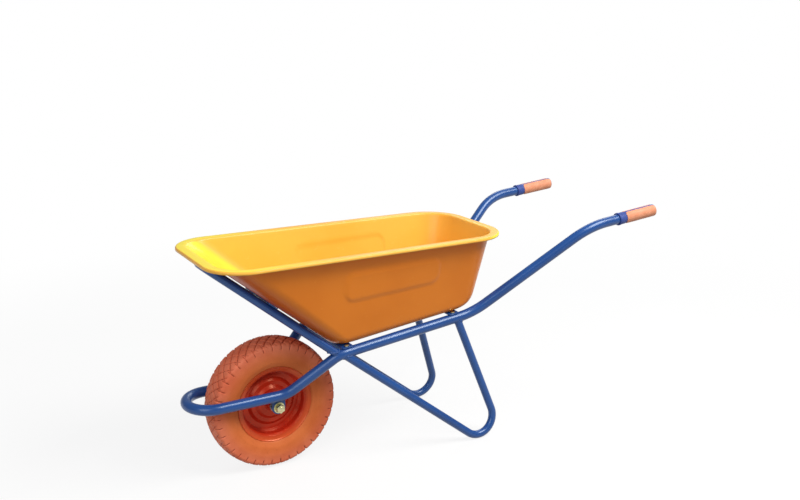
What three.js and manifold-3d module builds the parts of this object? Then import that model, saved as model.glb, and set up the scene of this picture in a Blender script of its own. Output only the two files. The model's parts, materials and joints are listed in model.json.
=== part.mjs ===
// A single-wheel builder's wheelbarrow: a pressed steel tray on a one-piece bent tube frame.
// Millimetres, +X forward over the wheel, +Y to the left, +Z up.
// The drawing is laid out about the wheel's centre, and the finished group is then moved so that
// its origin stands on the ground below the middle of the whole barrow.

import * as THREE from 'three';
import { mergeVertices } from 'three/addons/utils/BufferGeometryUtils.js';
import Module from 'manifold-3d';

const wasm = await Module();
wasm.setup();

// ---------------------------------------------------------------- driving dimensions

const seatGap = 0.3; // clearance between two pieces that touch, weld or bolt together
const bendStep = THREE.MathUtils.degToRad(20); // largest turn of one facet along a bent tube

// wheel
const tyreRadius = 200;
const tyreWidth = 100;
const crownHalfWidth = 24;
const shoulderDrop = 7;
const shoulderRound = 3;
const tyreBulge = 16; // height of the curved part of the side wall
const rimSeatRadius = 100;
const rimFlangeRadius = 118;
const rimWidth = 76;
const rimSheet = 2;
const rimDish = 16; // how far the hub opening of a rim half stands out from the middle
const rimStep = 8; // how far the dish steps back in, part of the way out to the drum
const rimBeadDrop = 11; // from the edge of the flange in to where the bead seat ends
const hubWall = 3.7;
const hubLength = 92;
const bearingWidth = 12;
const bearingRing = 3.4; // radial thickness of each race
const ballRadius = 2.1;
const ballClearance = 0.35; // between a ball and either race
const ballCount = 7;
const wheelSegments = 28;

// axle
const axleRadius = 8;
const axleHexFlats = 24;
const axleNutHeight = 13;
const axleHeadHeight = 10;
const axleWasherRadius = 17;
const axleWasherThickness = 3;
const axleThreadOut = 4; // thread left showing past the nut
const bracketInnerFace = 59.5; // from the middle plane of the wheel
const bracketThickness = 5;
const bracketWidth = 42;

// main frame tube, from the wheel back to the handles; heights are above the axle
const mainRadius = 16;
const mainWall = 1.5;
const loopHalfWidth = 73;
const loopClearance = 42.5; // between the tyre and the front of the loop
const loopHeight = 40;
const kneeX = -23; // where the tube turns up behind the axle
const kneeBend = 70;
const deckFrontInset = 33; // the front bend under the tray stands inside the top rear of the tyre's
const deckFrontDrop = 42; // square, by this much along and this much down
const deckFrontBend = 62;
const deckRun = 478; // the tubes are parallel between the two bends under the tray
const deckRise = 52;
const deckRearBend = 165;
const deckHalfWidth = 136;
const shoulderRun = 352; // from the rear bend to where the rising tubes turn level into the handles
const shoulderRise = 267;
const shoulderBend = 200;
const handleHalfWidth = 272;
const handleRun = 270; // from the shoulder to the end of the grip
const handleRise = 25;

// legs
const legRadius = 12.5;
const legWall = 1.5;
const legBend = 58;
const legFrontTopBack = 13; // behind the front bend of the deck
const legRearTopAhead = 61; // ahead of its rear bend
const legFootBack = 114; // behind the rear bend, where the two straights of a leg would cross
const legFootHalfWidth = 208;

// nose brace, a narrow V under the sloping front of the tray
const braceRadius = 12.5;
const braceWall = 1.5;
const braceLength = 471;
const braceBend = 45;

// straps and fasteners
const strapWidth = 35;
const strapThickness = 4;
const strapOverhang = 9; // past the middle of the main tube
const frontStrapBack = 29; // behind the front bend, along the deck
const rearStrapAhead = 22; // ahead of where the rear bend starts
const noseStrapUp = 250; // from the foot of the brace, along its slope
const noseStrapOverhang = 10;
const boltRadius = 4;
const boltHoleRadius = 4.6;
const boltHeadRadius = 9.5;
const boltHeadHeight = 4.5;
const strapBoltHeadHeight = 3.4; // low, to clear the round edge of the tray
const nutFlats = 13;
const nutHeight = 6.5;
const washerRadius = 9;
const washerThickness = 1.6;
const threadOut = 3;
const floorBoltHalfSpacing = 60;
const noseBoltHalfSpacing = 35;

// tray
const traySheet = 1.2;
const trayFrontAhead = 396; // outer edge of the rim, ahead of the front bend of the deck
const trayRearBack = 103; // and behind its rear bend
const trayFrontHalfWidth = 224;
const trayRearHalfWidth = 216;
const trayRise = 322; // front of the rim above the front bend
const rimFall = 8; // rear of the rim below its front
const rimFlange = 29; // width of the turned-out edge
const rimLip = 8; // depth of its turned-down lip
const rimLipRound = 4;
const rimFrontCorner = 117; // corner radii in plan, at the outer edge
const rimRearCorner = 132;
const floorOverlap = 2; // floor past the middle of each tube
const floorRearBack = 10; // rear edge of the floor, behind the rear bend
const floorCorner = 50;
const floorSideRound = 30;
const floorFrontRound = 40;
const floorRearRound = 60;
const cornerFacets = 6;

// grips
const gripLength = 157;
const gripCoreWall = 2.1;
const gripCapThickness = 4;
const gripCollarStep = 2.2; // collar above the core
const gripCollarLength = 28;
const gripCoverWall = 1.3;
const gripCoverBand = 12; // plain ring at each end of the cover
const gripWindowWidth = 14; // core left showing along the top and the bottom

// ---------------------------------------------------------------- places that follow from them

const loopFront = tyreRadius + loopClearance + mainRadius;
const deckFrontX = deckFrontInset - tyreRadius;
const deckFrontHeight = tyreRadius - deckFrontDrop;
const deckRearX = deckFrontX - deckRun;
const deckRearHeight = deckFrontHeight + deckRise;
const shoulderX = deckRearX - shoulderRun;
const shoulderHeight = deckRearHeight + shoulderRise;
const handleEndX = shoulderX - handleRun;
const handleEndHeight = shoulderHeight + handleRise;
const legFrontTopX = deckFrontX - legFrontTopBack;
const legRearTopX = deckRearX + legRearTopAhead;
const legFootX = deckRearX - legFootBack;
const trayFrontX = deckFrontX + trayFrontAhead;
const trayRearX = deckRearX - trayRearBack;
const floorRearX = deckRearX - floorRearBack;
const floorHalfWidth = deckHalfWidth + floorOverlap;
const rimFrontHeight = deckFrontHeight + trayRise;
const rimRearHeight = rimFrontHeight - rimFall;

// ---------------------------------------------------------------- finishes

const finish = (color, roughness, metalness) =>
  new THREE.MeshStandardMaterial({ color, roughness, metalness });

const trayPaint = finish('#f0962d', 0.35, 0.1);
const framePaint = finish('#1e4f9e', 0.3, 0.2);
const rimPaint = finish('#a3202a', 0.3, 0.2);
const zincPlate = finish('#c9cbb8', 0.35, 0.9);
const brightSteel = finish('#b9bcc0', 0.25, 1);
const tyreFoam = finish('#d9733a', 0.75, 0);
const gripBlue = finish('#24508f', 0.6, 0);
const gripOrange = finish('#e2743a', 0.6, 0);

// ---------------------------------------------------------------- geometry helpers

const at = (x, y, z) => new THREE.Vector3(x, y, z);

// A closed geometry as a solid that can be cut and joined.
function solidOf(geometry) {
  const bare = geometry.clone();
  bare.deleteAttribute('normal');
  bare.deleteAttribute('uv');
  const welded = mergeVertices(bare, 1e-4);
  return new wasm.Manifold(
    new wasm.Mesh({
      numProp: 3,
      vertProperties: welded.attributes.position.array,
      triVerts: new Uint32Array(welded.index.array),
    }),
  );
}

function geometryOf(solid) {
  const { vertProperties, triVerts } = solid.getMesh();
  const indexed = new THREE.BufferGeometry();
  indexed.setAttribute('position', new THREE.BufferAttribute(vertProperties, 3));
  indexed.setIndex(new THREE.BufferAttribute(triVerts, 1));
  const geometry = indexed.toNonIndexed();
  geometry.computeVertexNormals();
  return geometry;
}

function cut(geometry, ...tools) {
  const left = tools.reduce((solid, tool) => solid.subtract(solidOf(tool)), solidOf(geometry));
  return geometryOf(left);
}

function join(...geometries) {
  return geometryOf(geometries.map(solidOf).reduce((a, b) => a.add(b)));
}

// A path of straight steps between stations, which an extrusion follows one station at a time.
class StationPath extends THREE.Curve {
  constructor(stations) {
    super();
    this.stations = stations;
  }

  get steps() {
    return this.stations.length - 1;
  }

  getPoint(t, target = new THREE.Vector3()) {
    const place = t * this.steps;
    const i = Math.min(Math.round(place), this.steps);
    return target.copy(this.stations[i]);
  }

  getPointAt(u, target) {
    return this.getPoint(u, target);
  }

  // Half way between the directions of the two steps that meet at a station.
  getTangentAt(u, target = new THREE.Vector3()) {
    const i = Math.round(u * this.steps);
    const here = this.stations[i];
    target.set(0, 0, 0);
    if (i > 0) target.add(here.clone().sub(this.stations[i - 1]).normalize());
    if (i < this.steps) target.add(this.stations[i + 1].clone().sub(here).normalize());
    return target.normalize();
  }
}

// How much a path turns at a corner, and how far from the corner its bend starts.
function bendAt(before, corner, after, radius) {
  const back = before.clone().sub(corner).normalize();
  const ahead = after.clone().sub(corner).normalize();
  const turn = Math.PI - back.angleTo(ahead);
  return { back, ahead, turn, reach: radius * Math.tan(turn / 2) };
}

// Stations along straights that meet at corners, each corner rounded to its bend radius.
function bentPath(corners, bends) {
  const stations = [corners[0]];
  bends.forEach((radius, index) => {
    const [before, corner, after] = corners.slice(index, index + 3);
    const { back, ahead, turn, reach } = bendAt(before, corner, after, radius);
    const bisector = back.clone().add(ahead).normalize();
    const centre = corner.clone().addScaledVector(bisector, radius / Math.cos(turn / 2));
    const start = corner.clone().addScaledVector(back, reach).sub(centre);
    const axis = back.clone().cross(ahead).normalize().negate();
    const facets = Math.ceil(turn / bendStep);
    for (let i = 0; i <= facets; i++) {
      const station = start.clone().applyAxisAngle(axis, (turn * i) / facets).add(centre);
      if (station.distanceTo(stations.at(-1)) > seatGap) stations.push(station);
    }
  });
  stations.push(corners.at(-1));
  return new StationPath(stations);
}

const circlePath = (PathType, radius) =>
  new PathType().absarc(0, 0, radius, 0, 2 * Math.PI, false);

function roundTube(path, radius, wall, sides) {
  const section = circlePath(THREE.Shape, radius);
  if (wall) section.holes.push(circlePath(THREE.Path, radius - wall));
  return new THREE.ExtrudeGeometry(section, {
    extrudePath: path,
    steps: path.steps,
    curveSegments: sides / 2,
    bevelEnabled: false,
  });
}

// A flat outline with holes, thickness along +Z.
function plate(outline, thickness, holes = [], curveSegments = 8) {
  outline.holes.push(...holes);
  return new THREE.ExtrudeGeometry(outline, {
    depth: thickness,
    steps: 1,
    curveSegments,
    bevelEnabled: false,
  });
}

// A closed profile of [radius, height] points spun about Y.
const spun = (points, segments) =>
  new THREE.LatheGeometry(
    points.map(([radius, height]) => new THREE.Vector2(radius, height)),
    segments,
  );

const ring = (inner, outer, low, high, segments) =>
  spun([[inner, low], [outer, low], [outer, high], [inner, high], [inner, low]], segments);

const rod = (radius, low, high, segments) =>
  spun([[0, low], [radius, low], [radius, high], [0, high]], segments);

function hexagon(flats) {
  const corner = flats / 2 / Math.cos(Math.PI / 6);
  const points = [];
  for (let i = 0; i < 6; i++) {
    const angle = (i * Math.PI) / 3;
    points.push(new THREE.Vector2(corner * Math.cos(angle), corner * Math.sin(angle)));
  }
  return new THREE.Shape(points);
}

// A line of [radius, height] points moved sideways, to its right, by the same distance all along.
function offsetLine(line, distance) {
  const points = line.map(([x, y]) => new THREE.Vector2(x, y));
  return points.map((point, i) => {
    const into = point.clone().sub(points[i - 1] ?? point).normalize();
    const out = (points[i + 1] ?? point).clone().sub(point).normalize();
    const along = into.clone().add(out).normalize();
    const reach = distance / along.dot(i > 0 ? into : out);
    return [point.x + along.y * reach, point.y - along.x * reach];
  });
}

// A sheet bent along a line, as a closed profile.
const sheetProfile = (line, thickness) => [
  ...line,
  ...offsetLine(line, thickness).reverse(),
  line[0],
];

const barrow = new THREE.Group();

function addPart(parent, name, geometry, material) {
  const mesh = new THREE.Mesh(geometry, material);
  mesh.name = name;
  parent.add(mesh);
  return mesh;
}

const sides = [
  { name: 'left', sign: 1 },
  { name: 'right', sign: -1 },
];

// ---------------------------------------------------------------- main frame tube

const axisEnd = at(handleEndX, handleHalfWidth, handleEndHeight);
const shoulder = at(shoulderX, handleHalfWidth, shoulderHeight);
const handleAxis = axisEnd.clone().sub(shoulder).normalize();
const tubeEnd = axisEnd.clone().addScaledVector(handleAxis, -(gripCapThickness + seatGap));
const deckFront = at(deckFrontX, deckHalfWidth, deckFrontHeight);
const deckRear = at(deckRearX, deckHalfWidth, deckRearHeight);

const leftCorners = [
  tubeEnd,
  shoulder,
  deckRear,
  deckFront,
  at(kneeX, loopHalfWidth, loopHeight),
  at(loopFront, loopHalfWidth, loopHeight),
];
const rightCorners = leftCorners.map((p) => at(p.x, -p.y, p.z)).reverse();
const leftBends = [shoulderBend, deckRearBend, deckFrontBend, kneeBend, loopHalfWidth];
const mainPath = bentPath([...leftCorners, ...rightCorners], [...leftBends, ...leftBends.toReversed()]);
const mainSides = 12;
const mainEnvelope = roundTube(mainPath, mainRadius + seatGap, 0, mainSides);

// The deck is the plane of the two tubes where they run under the tray.
const deckSlope = (deckRearHeight - deckFrontHeight) / (deckFrontX - deckRearX);
const deckTilt = Math.atan(deckSlope);
const deck = new THREE.Group();
deck.position.set(deckFrontX, 0, deckFrontHeight);
deck.rotation.y = deckTilt;
deck.updateMatrix();
barrow.add(deck);

const strapFace = mainRadius + seatGap; // underside of a deck strap, above the middle of the tubes
const strapTop = strapFace + strapThickness;
const rearBend = bendAt(deckFront, deckRear, shoulder, deckRearBend);
const deckLength = deckFront.distanceTo(deckRear);
const deckStraps = [
  { name: 'front', x: -frontStrapBack },
  { name: 'rear', x: rearBend.reach + rearStrapAhead - deckLength },
];

const onDeck = (geometry) => geometry.applyMatrix4(deck.matrix);

function uprightHole(x, y, low, high, segments = 12) {
  return rod(boltHoleRadius, low, high, segments).rotateX(Math.PI / 2).translate(x, y, 0);
}

const clampHoles = deckStraps.flatMap(({ x }) =>
  sides.map(({ sign }) =>
    onDeck(uprightHole(x, sign * deckHalfWidth, 0, 2 * mainRadius)),
  ),
);
addPart(
  barrow,
  'main_frame_tube',
  cut(roundTube(mainPath, mainRadius, mainWall, mainSides), ...clampHoles),
  framePaint,
);

// ---------------------------------------------------------------- legs

const onDeckLine = (x) => at(x, deckHalfWidth, deckFrontHeight + (deckFrontX - x) * deckSlope);

// The crossing point of a leg's straights is lowered until the bend just stands on the ground.
function legPath() {
  const crossing = at(legFootX, legFootHalfWidth, -tyreRadius);
  const front = onDeckLine(legFrontTopX);
  const rear = onDeckLine(legRearTopX);
  let path = bentPath([front, crossing, rear], [legBend]);
  for (let pass = 0; pass < 12; pass++) {
    const lowest = Math.min(...path.stations.map((station) => station.z)) - legRadius;
    crossing.z -= lowest + tyreRadius;
    path = bentPath([front, crossing, rear], [legBend]);
  }
  return path;
}

const legSides = 10;
const leftLeg = cut(roundTube(legPath(), legRadius, legWall, legSides), mainEnvelope);
sides.forEach(({ name, sign }) => {
  const leg = addPart(barrow, `leg_${name}`, leftLeg, framePaint);
  leg.scale.y = sign;
});

// ---------------------------------------------------------------- tray

const deckNormal = Math.cos(deckTilt);
const trayUnderside = strapTop + seatGap; // above the middle of the tubes, square to the deck
const floorPlane = (x) => deckFrontHeight + (deckFrontX - x) * deckSlope + trayUnderside / deckNormal;
const rimSlope = (rimRearHeight - rimFrontHeight) / (trayRearX - trayFrontX);
const rimPlane = (x) => rimFrontHeight + (x - trayFrontX) * rimSlope;

// The front wall lies on the nose strap, so it is parallel to the brace and just above it.
const wallTopX = trayFrontX - rimFlange;
const wallTopHeight = rimPlane(wallTopX) - traySheet;
const wallClearance = braceRadius + seatGap + strapThickness + seatGap;
const noseRun = wallTopX - deckFrontX;
const noseRise = wallTopHeight - deckFrontHeight;
const noseAngle =
  Math.acos(wallClearance / Math.hypot(noseRun, noseRise)) - Math.atan2(noseRun, noseRise);
const noseSlope = Math.tan(noseAngle);
const floorFrontX =
  (floorPlane(0) - wallTopHeight + wallTopX * noseSlope) / (noseSlope + deckSlope);
const rearWallTopX = trayRearX + rimFlange;
const rearLean = (floorRearX - rearWallTopX) / (rimPlane(rearWallTopX) - floorPlane(floorRearX));

// How far a rounded floor edge stays inside the sharp corner of its two planes.
// height is above the floor, lean is the wall's run for one of rise.
function edgeInset(height, radius, lean) {
  const turn = Math.PI / 2 - Math.atan(lean);
  if (height >= radius * (1 - Math.cos(turn))) return 0;
  const tangent = radius * Math.tan(turn / 2);
  const reach = Math.sqrt(radius * radius - (radius - height) ** 2);
  return height * lean + tangent - reach;
}

// One ring of the tray's skin. rise runs from 0 on the floor to 1 at the rim; skin is how far the
// ring lies inside the outer surface; outset and drop lead it over the turned-out edge.
function trayRing(rise, skin = 0, outset = 0, drop = 0) {
  const floorAt = (x) => floorPlane(x) + skin / deckNormal;
  const topAt = (x) => rimPlane(x) - traySheet + skin;
  const level = (x) => (1 - rise) * floorAt(x) + rise * topAt(x);
  const levelSlope = level(1) - level(0);
  const height = rise * (topAt(floorRearX) - floorAt(floorRearX));
  const round = (radius, lean) => edgeInset(height, radius - skin, lean);

  const noseHeight = wallTopHeight + skin / Math.cos(noseAngle);
  const frontX = (noseHeight - wallTopX * noseSlope - level(0)) / (levelSlope - noseSlope);
  const rearSkin = skin * Math.hypot(1, rearLean);
  const rearHeight = floorPlane(floorRearX);
  const rearX =
    (floorRearX - rearLean * (level(0) - rearHeight)) / (1 + rearLean * levelSlope) + rearSkin;

  const topHalf = { front: trayFrontHalfWidth - rimFlange, rear: trayRearHalfWidth - rimFlange };
  const depth = { front: wallTopHeight - floorPlane(floorFrontX), rear: rimPlane(rearX) - rearHeight };
  const halfAt = (end) => {
    const lean = (topHalf[end] - floorHalfWidth) / depth[end];
    const straight = floorHalfWidth + (topHalf[end] - floorHalfWidth) * rise;
    return straight - skin * Math.hypot(1, lean) - round(floorSideRound, lean) + outset;
  };
  const front = frontX - round(floorFrontRound, 1 / noseSlope) + outset;
  const rear = rearX + round(floorRearRound, rearLean) - outset;
  const corner = (top) => THREE.MathUtils.lerp(floorCorner, top - rimFlange, rise) - skin + outset;
  const corners = [
    { x: front, y: halfAt('front'), radius: corner(rimFrontCorner), inX: -1, inY: -1 },
    { x: rear, y: halfAt('rear'), radius: corner(rimRearCorner), inX: 1, inY: -1 },
    { x: rear, y: -halfAt('rear'), radius: corner(rimRearCorner), inX: 1, inY: 1 },
    { x: front, y: -halfAt('front'), radius: corner(rimFrontCorner), inX: -1, inY: 1 },
  ];
  return corners.flatMap(({ x, y, radius, inX, inY }, quarter) => {
    const points = [];
    for (let i = 0; i <= cornerFacets; i++) {
      const angle = ((quarter + i / cornerFacets) * Math.PI) / 2;
      const px = x + inX * radius + radius * Math.cos(angle);
      const py = y + inY * radius + radius * Math.sin(angle);
      points.push(at(px, py, level(px) - drop));
    }
    return points;
  });
}

// A closed surface through rings of equal count, with a fan over the first ring and the last.
function loft(rings) {
  const count = rings[0].length;
  const centre = (points) =>
    points.reduce((sum, point) => sum.add(point), at(0, 0, 0)).divideScalar(count);
  const points = [...rings.flat(), centre(rings[0]), centre(rings.at(-1))];
  const firstCentre = rings.length * count;
  const index = [];
  for (let i = 0; i < count; i++) {
    const next = (i + 1) % count;
    index.push(firstCentre, next, i);
    index.push(firstCentre + 1, firstCentre - count + i, firstCentre - count + next);
    for (let r = 0; r < rings.length - 1; r++) {
      const low = r * count;
      const high = low + count;
      index.push(low + i, low + next, high + next, low + i, high + next, high + i);
    }
  }
  const geometry = new THREE.BufferGeometry().setFromPoints(points);
  geometry.setIndex(index);
  return geometry;
}

// Heights where the rounded floor edge is drawn, as shares of the tray's depth.
const roundRises = [0, 0.006, 0.025, 0.055, 0.1, 0.17];
const skinRises = [...roundRises, 1];
const lipInner = rimFlange - traySheet;
const trayRings = [
  ...skinRises.map((rise) => trayRing(rise)),
  trayRing(1, 0, lipInner, 0),
  trayRing(1, 0, lipInner, rimLip - traySheet),
  trayRing(1, traySheet, rimFlange + traySheet, rimLip),
  trayRing(1, traySheet, rimFlange + traySheet, rimLipRound),
  trayRing(1, traySheet, rimFlange + traySheet - rimLipRound * 0.3, rimLipRound * 0.3),
  trayRing(1, traySheet, rimFlange + traySheet - rimLipRound, 0),
  ...skinRises.toReversed().map((rise) => trayRing(rise, traySheet)),
];

// The brace has a frame of its own: local X runs up its slope and local Z faces the tray.
const nose = new THREE.Group();
nose.position.set(deckFrontX, 0, deckFrontHeight);
nose.rotation.y = -noseAngle;
nose.updateMatrix();
barrow.add(nose);
const onNose = (geometry) => geometry.applyMatrix4(nose.matrix);

const strapHoleLow = -2 * mainRadius;
const strapHoleHigh = 2 * mainRadius;
const floorHoles = deckStraps.flatMap(({ x }) =>
  sides.map(({ sign }) =>
    onDeck(uprightHole(x, sign * floorBoltHalfSpacing, strapHoleLow, strapHoleHigh)),
  ),
);
const noseHoles = sides.map(({ sign }) =>
  onNose(uprightHole(noseStrapUp, sign * noseBoltHalfSpacing, strapHoleLow, strapHoleHigh)),
);
addPart(barrow, 'tray', cut(loft(trayRings), ...floorHoles, ...noseHoles), trayPaint);

// ---------------------------------------------------------------- nose brace

// In the brace's own plane a straight runs from each foot and just touches the round top.
const toCentre = braceLength - braceBend;
const braceHalfAngle =
  Math.atan2(deckHalfWidth, toCentre) - Math.asin(braceBend / Math.hypot(toCentre, deckHalfWidth));
const braceTip = toCentre + braceBend / Math.sin(braceHalfAngle);
const bracePath = bentPath(
  [at(0, deckHalfWidth, 0), at(braceTip, 0, 0), at(0, -deckHalfWidth, 0)].map((point) =>
    point.applyMatrix4(nose.matrix),
  ),
  [braceBend],
);
addPart(
  barrow,
  'nose_brace',
  cut(roundTube(bracePath, braceRadius, braceWall, legSides), mainEnvelope),
  framePaint,
);

// ---------------------------------------------------------------- straps

// A flat bar across the barrow with holes at the given half spacings.
function strap(halfLength, holeSpacings) {
  const halfWidth = strapWidth / 2;
  const outline = new THREE.Shape([
    new THREE.Vector2(-halfWidth, -halfLength),
    new THREE.Vector2(halfWidth, -halfLength),
    new THREE.Vector2(halfWidth, halfLength),
    new THREE.Vector2(-halfWidth, halfLength),
  ]);
  const holes = holeSpacings.flatMap((spacing) =>
    sides.map(({ sign }) => new THREE.Path().absarc(0, sign * spacing, boltHoleRadius, 0, 2 * Math.PI)),
  );
  return plate(outline, strapThickness, holes, 6);
}

const deckStrap = strap(deckHalfWidth + strapOverhang, [floorBoltHalfSpacing, deckHalfWidth]);
deckStraps.forEach(({ name, x }) => {
  addPart(deck, `${name}_strap`, deckStrap, framePaint).position.set(x, 0, strapFace);
});

const noseStrapHalf =
  deckHalfWidth - noseStrapUp * Math.tan(braceHalfAngle) + noseStrapOverhang;
const noseStrapFace = braceRadius + seatGap;
addPart(nose, 'nose_strap', strap(noseStrapHalf, [noseBoltHalfSpacing]), framePaint).position.set(
  noseStrapUp,
  0,
  noseStrapFace,
);

// ---------------------------------------------------------------- bolts, washers and nuts

const boltSegments = 10;
const upright = (geometry) => geometry.rotateX(Math.PI / 2);

// A domed bolt whose head stands on z = 0 and whose shank hangs below it.
function domedBolt(shank) {
  return upright(
    spun(
      [
        [0, -shank],
        [boltRadius, -shank],
        [boltRadius, 0],
        [boltHeadRadius, 0],
        [boltHeadRadius * 0.85, boltHeadHeight * 0.6],
        [boltHeadRadius * 0.45, boltHeadHeight * 0.93],
        [0, boltHeadHeight],
      ],
      boltSegments,
    ),
  );
}

// A short bolt that is threaded into the top wall of the main tube.
const strapBoltShank = strapThickness + 2 * seatGap + mainWall + threadOut;
const strapBolt = join(
  plate(hexagon(nutFlats), strapBoltHeadHeight),
  upright(rod(boltRadius, -strapBoltShank, strapBoltHeadHeight / 2, boltSegments)),
);

// A washer and a nut, each with its upper face on z = 0.
const boltWasher = upright(
  ring(boltHoleRadius, washerRadius, -washerThickness, 0, boltSegments),
);
const boltNut = plate(
  hexagon(nutFlats),
  nutHeight,
  [circlePath(THREE.Path, boltRadius + seatGap)],
  6,
).translate(0, 0, -nutHeight);

// A bolt whose head rests on headFace, with its washer and nut drawn up against clampFace.
function addTrayBolt(parent, name, x, y, headFace, clampFace) {
  const washerTop = clampFace - seatGap;
  const nutTop = washerTop - washerThickness - seatGap;
  const shank = headFace - nutTop + nutHeight + threadOut;
  addPart(parent, `${name}_bolt`, domedBolt(shank), zincPlate).position.set(x, y, headFace);
  addPart(parent, `${name}_washer`, boltWasher, zincPlate).position.set(x, y, washerTop);
  addPart(parent, `${name}_nut`, boltNut, zincPlate).position.set(x, y, nutTop);
}

const trayFloorTop = trayUnderside + traySheet + seatGap;
deckStraps.forEach(({ name: end, x }) => {
  sides.forEach(({ name: side, sign }) => {
    const floorY = sign * floorBoltHalfSpacing;
    addTrayBolt(deck, `tray_${end}_${side}`, x, floorY, trayFloorTop, strapFace);
    const tubeBolt = addPart(deck, `strap_${end}_${side}_bolt`, strapBolt, zincPlate);
    tubeBolt.position.set(x, sign * deckHalfWidth, strapTop + seatGap);
  });
});

const noseWallTop = wallClearance + traySheet + seatGap;
sides.forEach(({ name, sign }) => {
  const y = sign * noseBoltHalfSpacing;
  addTrayBolt(nose, `nose_${name}`, noseStrapUp, y, noseWallTop, noseStrapFace);
});

// ---------------------------------------------------------------- axle

const axleSegments = 16;
const axleHoleRadius = axleRadius + seatGap;
const bracketOuterFace = bracketInnerFace + bracketThickness;
const bracketHalf = bracketWidth / 2;

// A tab with a round lower end about the axle, fitted under the curve of the main tube.
function bracket() {
  const top = loopHeight - 2;
  const outline = new THREE.Shape();
  outline.moveTo(-bracketHalf, top);
  outline.lineTo(-bracketHalf, 0);
  outline.absarc(0, 0, bracketHalf, Math.PI, 2 * Math.PI, false);
  outline.lineTo(bracketHalf, top);
  outline.closePath();
  const blank = plate(outline, bracketThickness, [circlePath(THREE.Path, axleHoleRadius)]);
  return cut(blank.rotateX(Math.PI / 2).translate(0, bracketOuterFace, 0), mainEnvelope);
}

const leftBracket = bracket();
const washerFace = bracketOuterFace + seatGap;
const nutFace = washerFace + axleWasherThickness + seatGap;
const bearingFace = hubLength / 2;
const bearingInside = bearingFace - bearingWidth;
const innerRaceRadius = axleHoleRadius + bearingRing;

sides.forEach(({ name, sign }) => {
  addPart(barrow, `axle_bracket_${name}`, leftBracket, framePaint).scale.y = sign;
  const washer = ring(
    axleHoleRadius,
    axleWasherRadius,
    washerFace,
    washerFace + axleWasherThickness,
    axleSegments,
  );
  addPart(barrow, `axle_washer_${name}`, washer, zincPlate).scale.y = sign;
  const spacerEnds = [bearingFace + seatGap, bracketInnerFace - seatGap];
  const spacer = ring(axleHoleRadius, innerRaceRadius, ...spacerEnds, axleSegments);
  addPart(barrow, `axle_spacer_${name}`, spacer, zincPlate).scale.y = sign;
});

const sleeveEnd = bearingInside - seatGap;
const sleeve = ring(axleHoleRadius, innerRaceRadius, -sleeveEnd, sleeveEnd, axleSegments);
addPart(barrow, 'axle_sleeve', sleeve, brightSteel);

// Hexagons here lie across the barrow, so their thickness is turned to run along Y.
const acrossBarrow = (geometry, startY) => geometry.rotateX(-Math.PI / 2).translate(0, startY, 0);
const axleNut = plate(hexagon(axleHexFlats), axleNutHeight, [circlePath(THREE.Path, axleHoleRadius)]);
addPart(barrow, 'axle_nut', acrossBarrow(axleNut, nutFace), zincPlate);
const axleHead = acrossBarrow(plate(hexagon(axleHexFlats), axleHeadHeight), -nutFace - axleHeadHeight);
const axleThreadEnd = nutFace + axleNutHeight + axleThreadOut;
const axleShank = rod(axleRadius, -nutFace - 1, axleThreadEnd, axleSegments);
addPart(barrow, 'axle_bolt', join(axleHead, axleShank), zincPlate);

// ---------------------------------------------------------------- wheel

const wheel = new THREE.Group();
barrow.add(wheel);
const outerRaceRadius = innerRaceRadius + 2 * (ballRadius + ballClearance) + bearingRing;
const hubInner = outerRaceRadius + seatGap;
const hubRadius = hubInner + hubWall;
const hub = ring(hubInner, hubRadius, -hubLength / 2, hubLength / 2, 20);
addPart(wheel, 'hub_tube', hub, rimPaint);

// Two pressed discs back to back: a dished centre, a drum that carries the tyre and a flange.
const drumRadius = rimSeatRadius - rimSheet;
const rimEdge = rimWidth / 2;
const discMeet = seatGap / 2 + rimSheet; // inner face of a disc where the two halves meet
const dishRadius = 44;
const stepRadius = 66;
const slopeRun = 10;
const drumRound = 7;
const beadRise = 5;
const discLine = [
  [hubRadius + seatGap, discMeet + rimDish],
  [dishRadius, discMeet + rimDish],
  [dishRadius + slopeRun, discMeet + rimStep],
  [stepRadius, discMeet + rimStep],
  [stepRadius + slopeRun, discMeet],
  [drumRadius - drumRound, discMeet],
];
const drumLine = [
  [drumRadius, discMeet + drumRound],
  [drumRadius, rimEdge - rimBeadDrop],
  [drumRadius + beadRise, rimEdge - beadRise],
  [rimFlangeRadius - rimSheet, rimEdge],
];
const rimProfile = sheetProfile([...discLine, ...drumLine], rimSheet).reverse();
const leftRim = spun(rimProfile, wheelSegments);

// A solid foam tyre: its bead follows the drum and the flanges, and its walls bulge past them.
function tyre() {
  const half = tyreWidth / 2;
  const shoulderRadius = tyreRadius - shoulderDrop;
  const widest = (rimFlangeRadius + tyreRadius) / 2;
  const wall = [
    ...offsetLine(drumLine, rimSheet + seatGap),
    [rimFlangeRadius + shoulderRound, half - 3 * shoulderRound],
    [widest - tyreBulge, half - shoulderRound],
    [widest, half],
    [shoulderRadius - tyreBulge / 2, half],
    [shoulderRadius, half - shoulderRound],
    [tyreRadius, crownHalfWidth],
  ];
  const rightWall = wall.map(([radius, y]) => [radius, -y]).reverse();
  const loop = [...rightWall, ...wall, rightWall[0]];
  return spun(loop.reverse(), wheelSegments);
}

addPart(wheel, 'tyre', tyre(), tyreFoam);
const ballPitch = (innerRaceRadius + outerRaceRadius - bearingRing) / 2;

// The balls of one bearing with the ring that keeps them apart.
function ballCage(middleY) {
  const cage = ring(ballPitch - 0.7, ballPitch + 0.7, middleY - 2.6, middleY + 2.6, 7);
  const balls = Array.from({ length: ballCount }, (_, i) => {
    const angle = (i * 2 * Math.PI) / ballCount;
    const ball = new THREE.SphereGeometry(ballRadius, 5, 4);
    return ball.translate(ballPitch * Math.cos(angle), middleY, ballPitch * Math.sin(angle));
  });
  return join(cage, ...balls);
}

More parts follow.
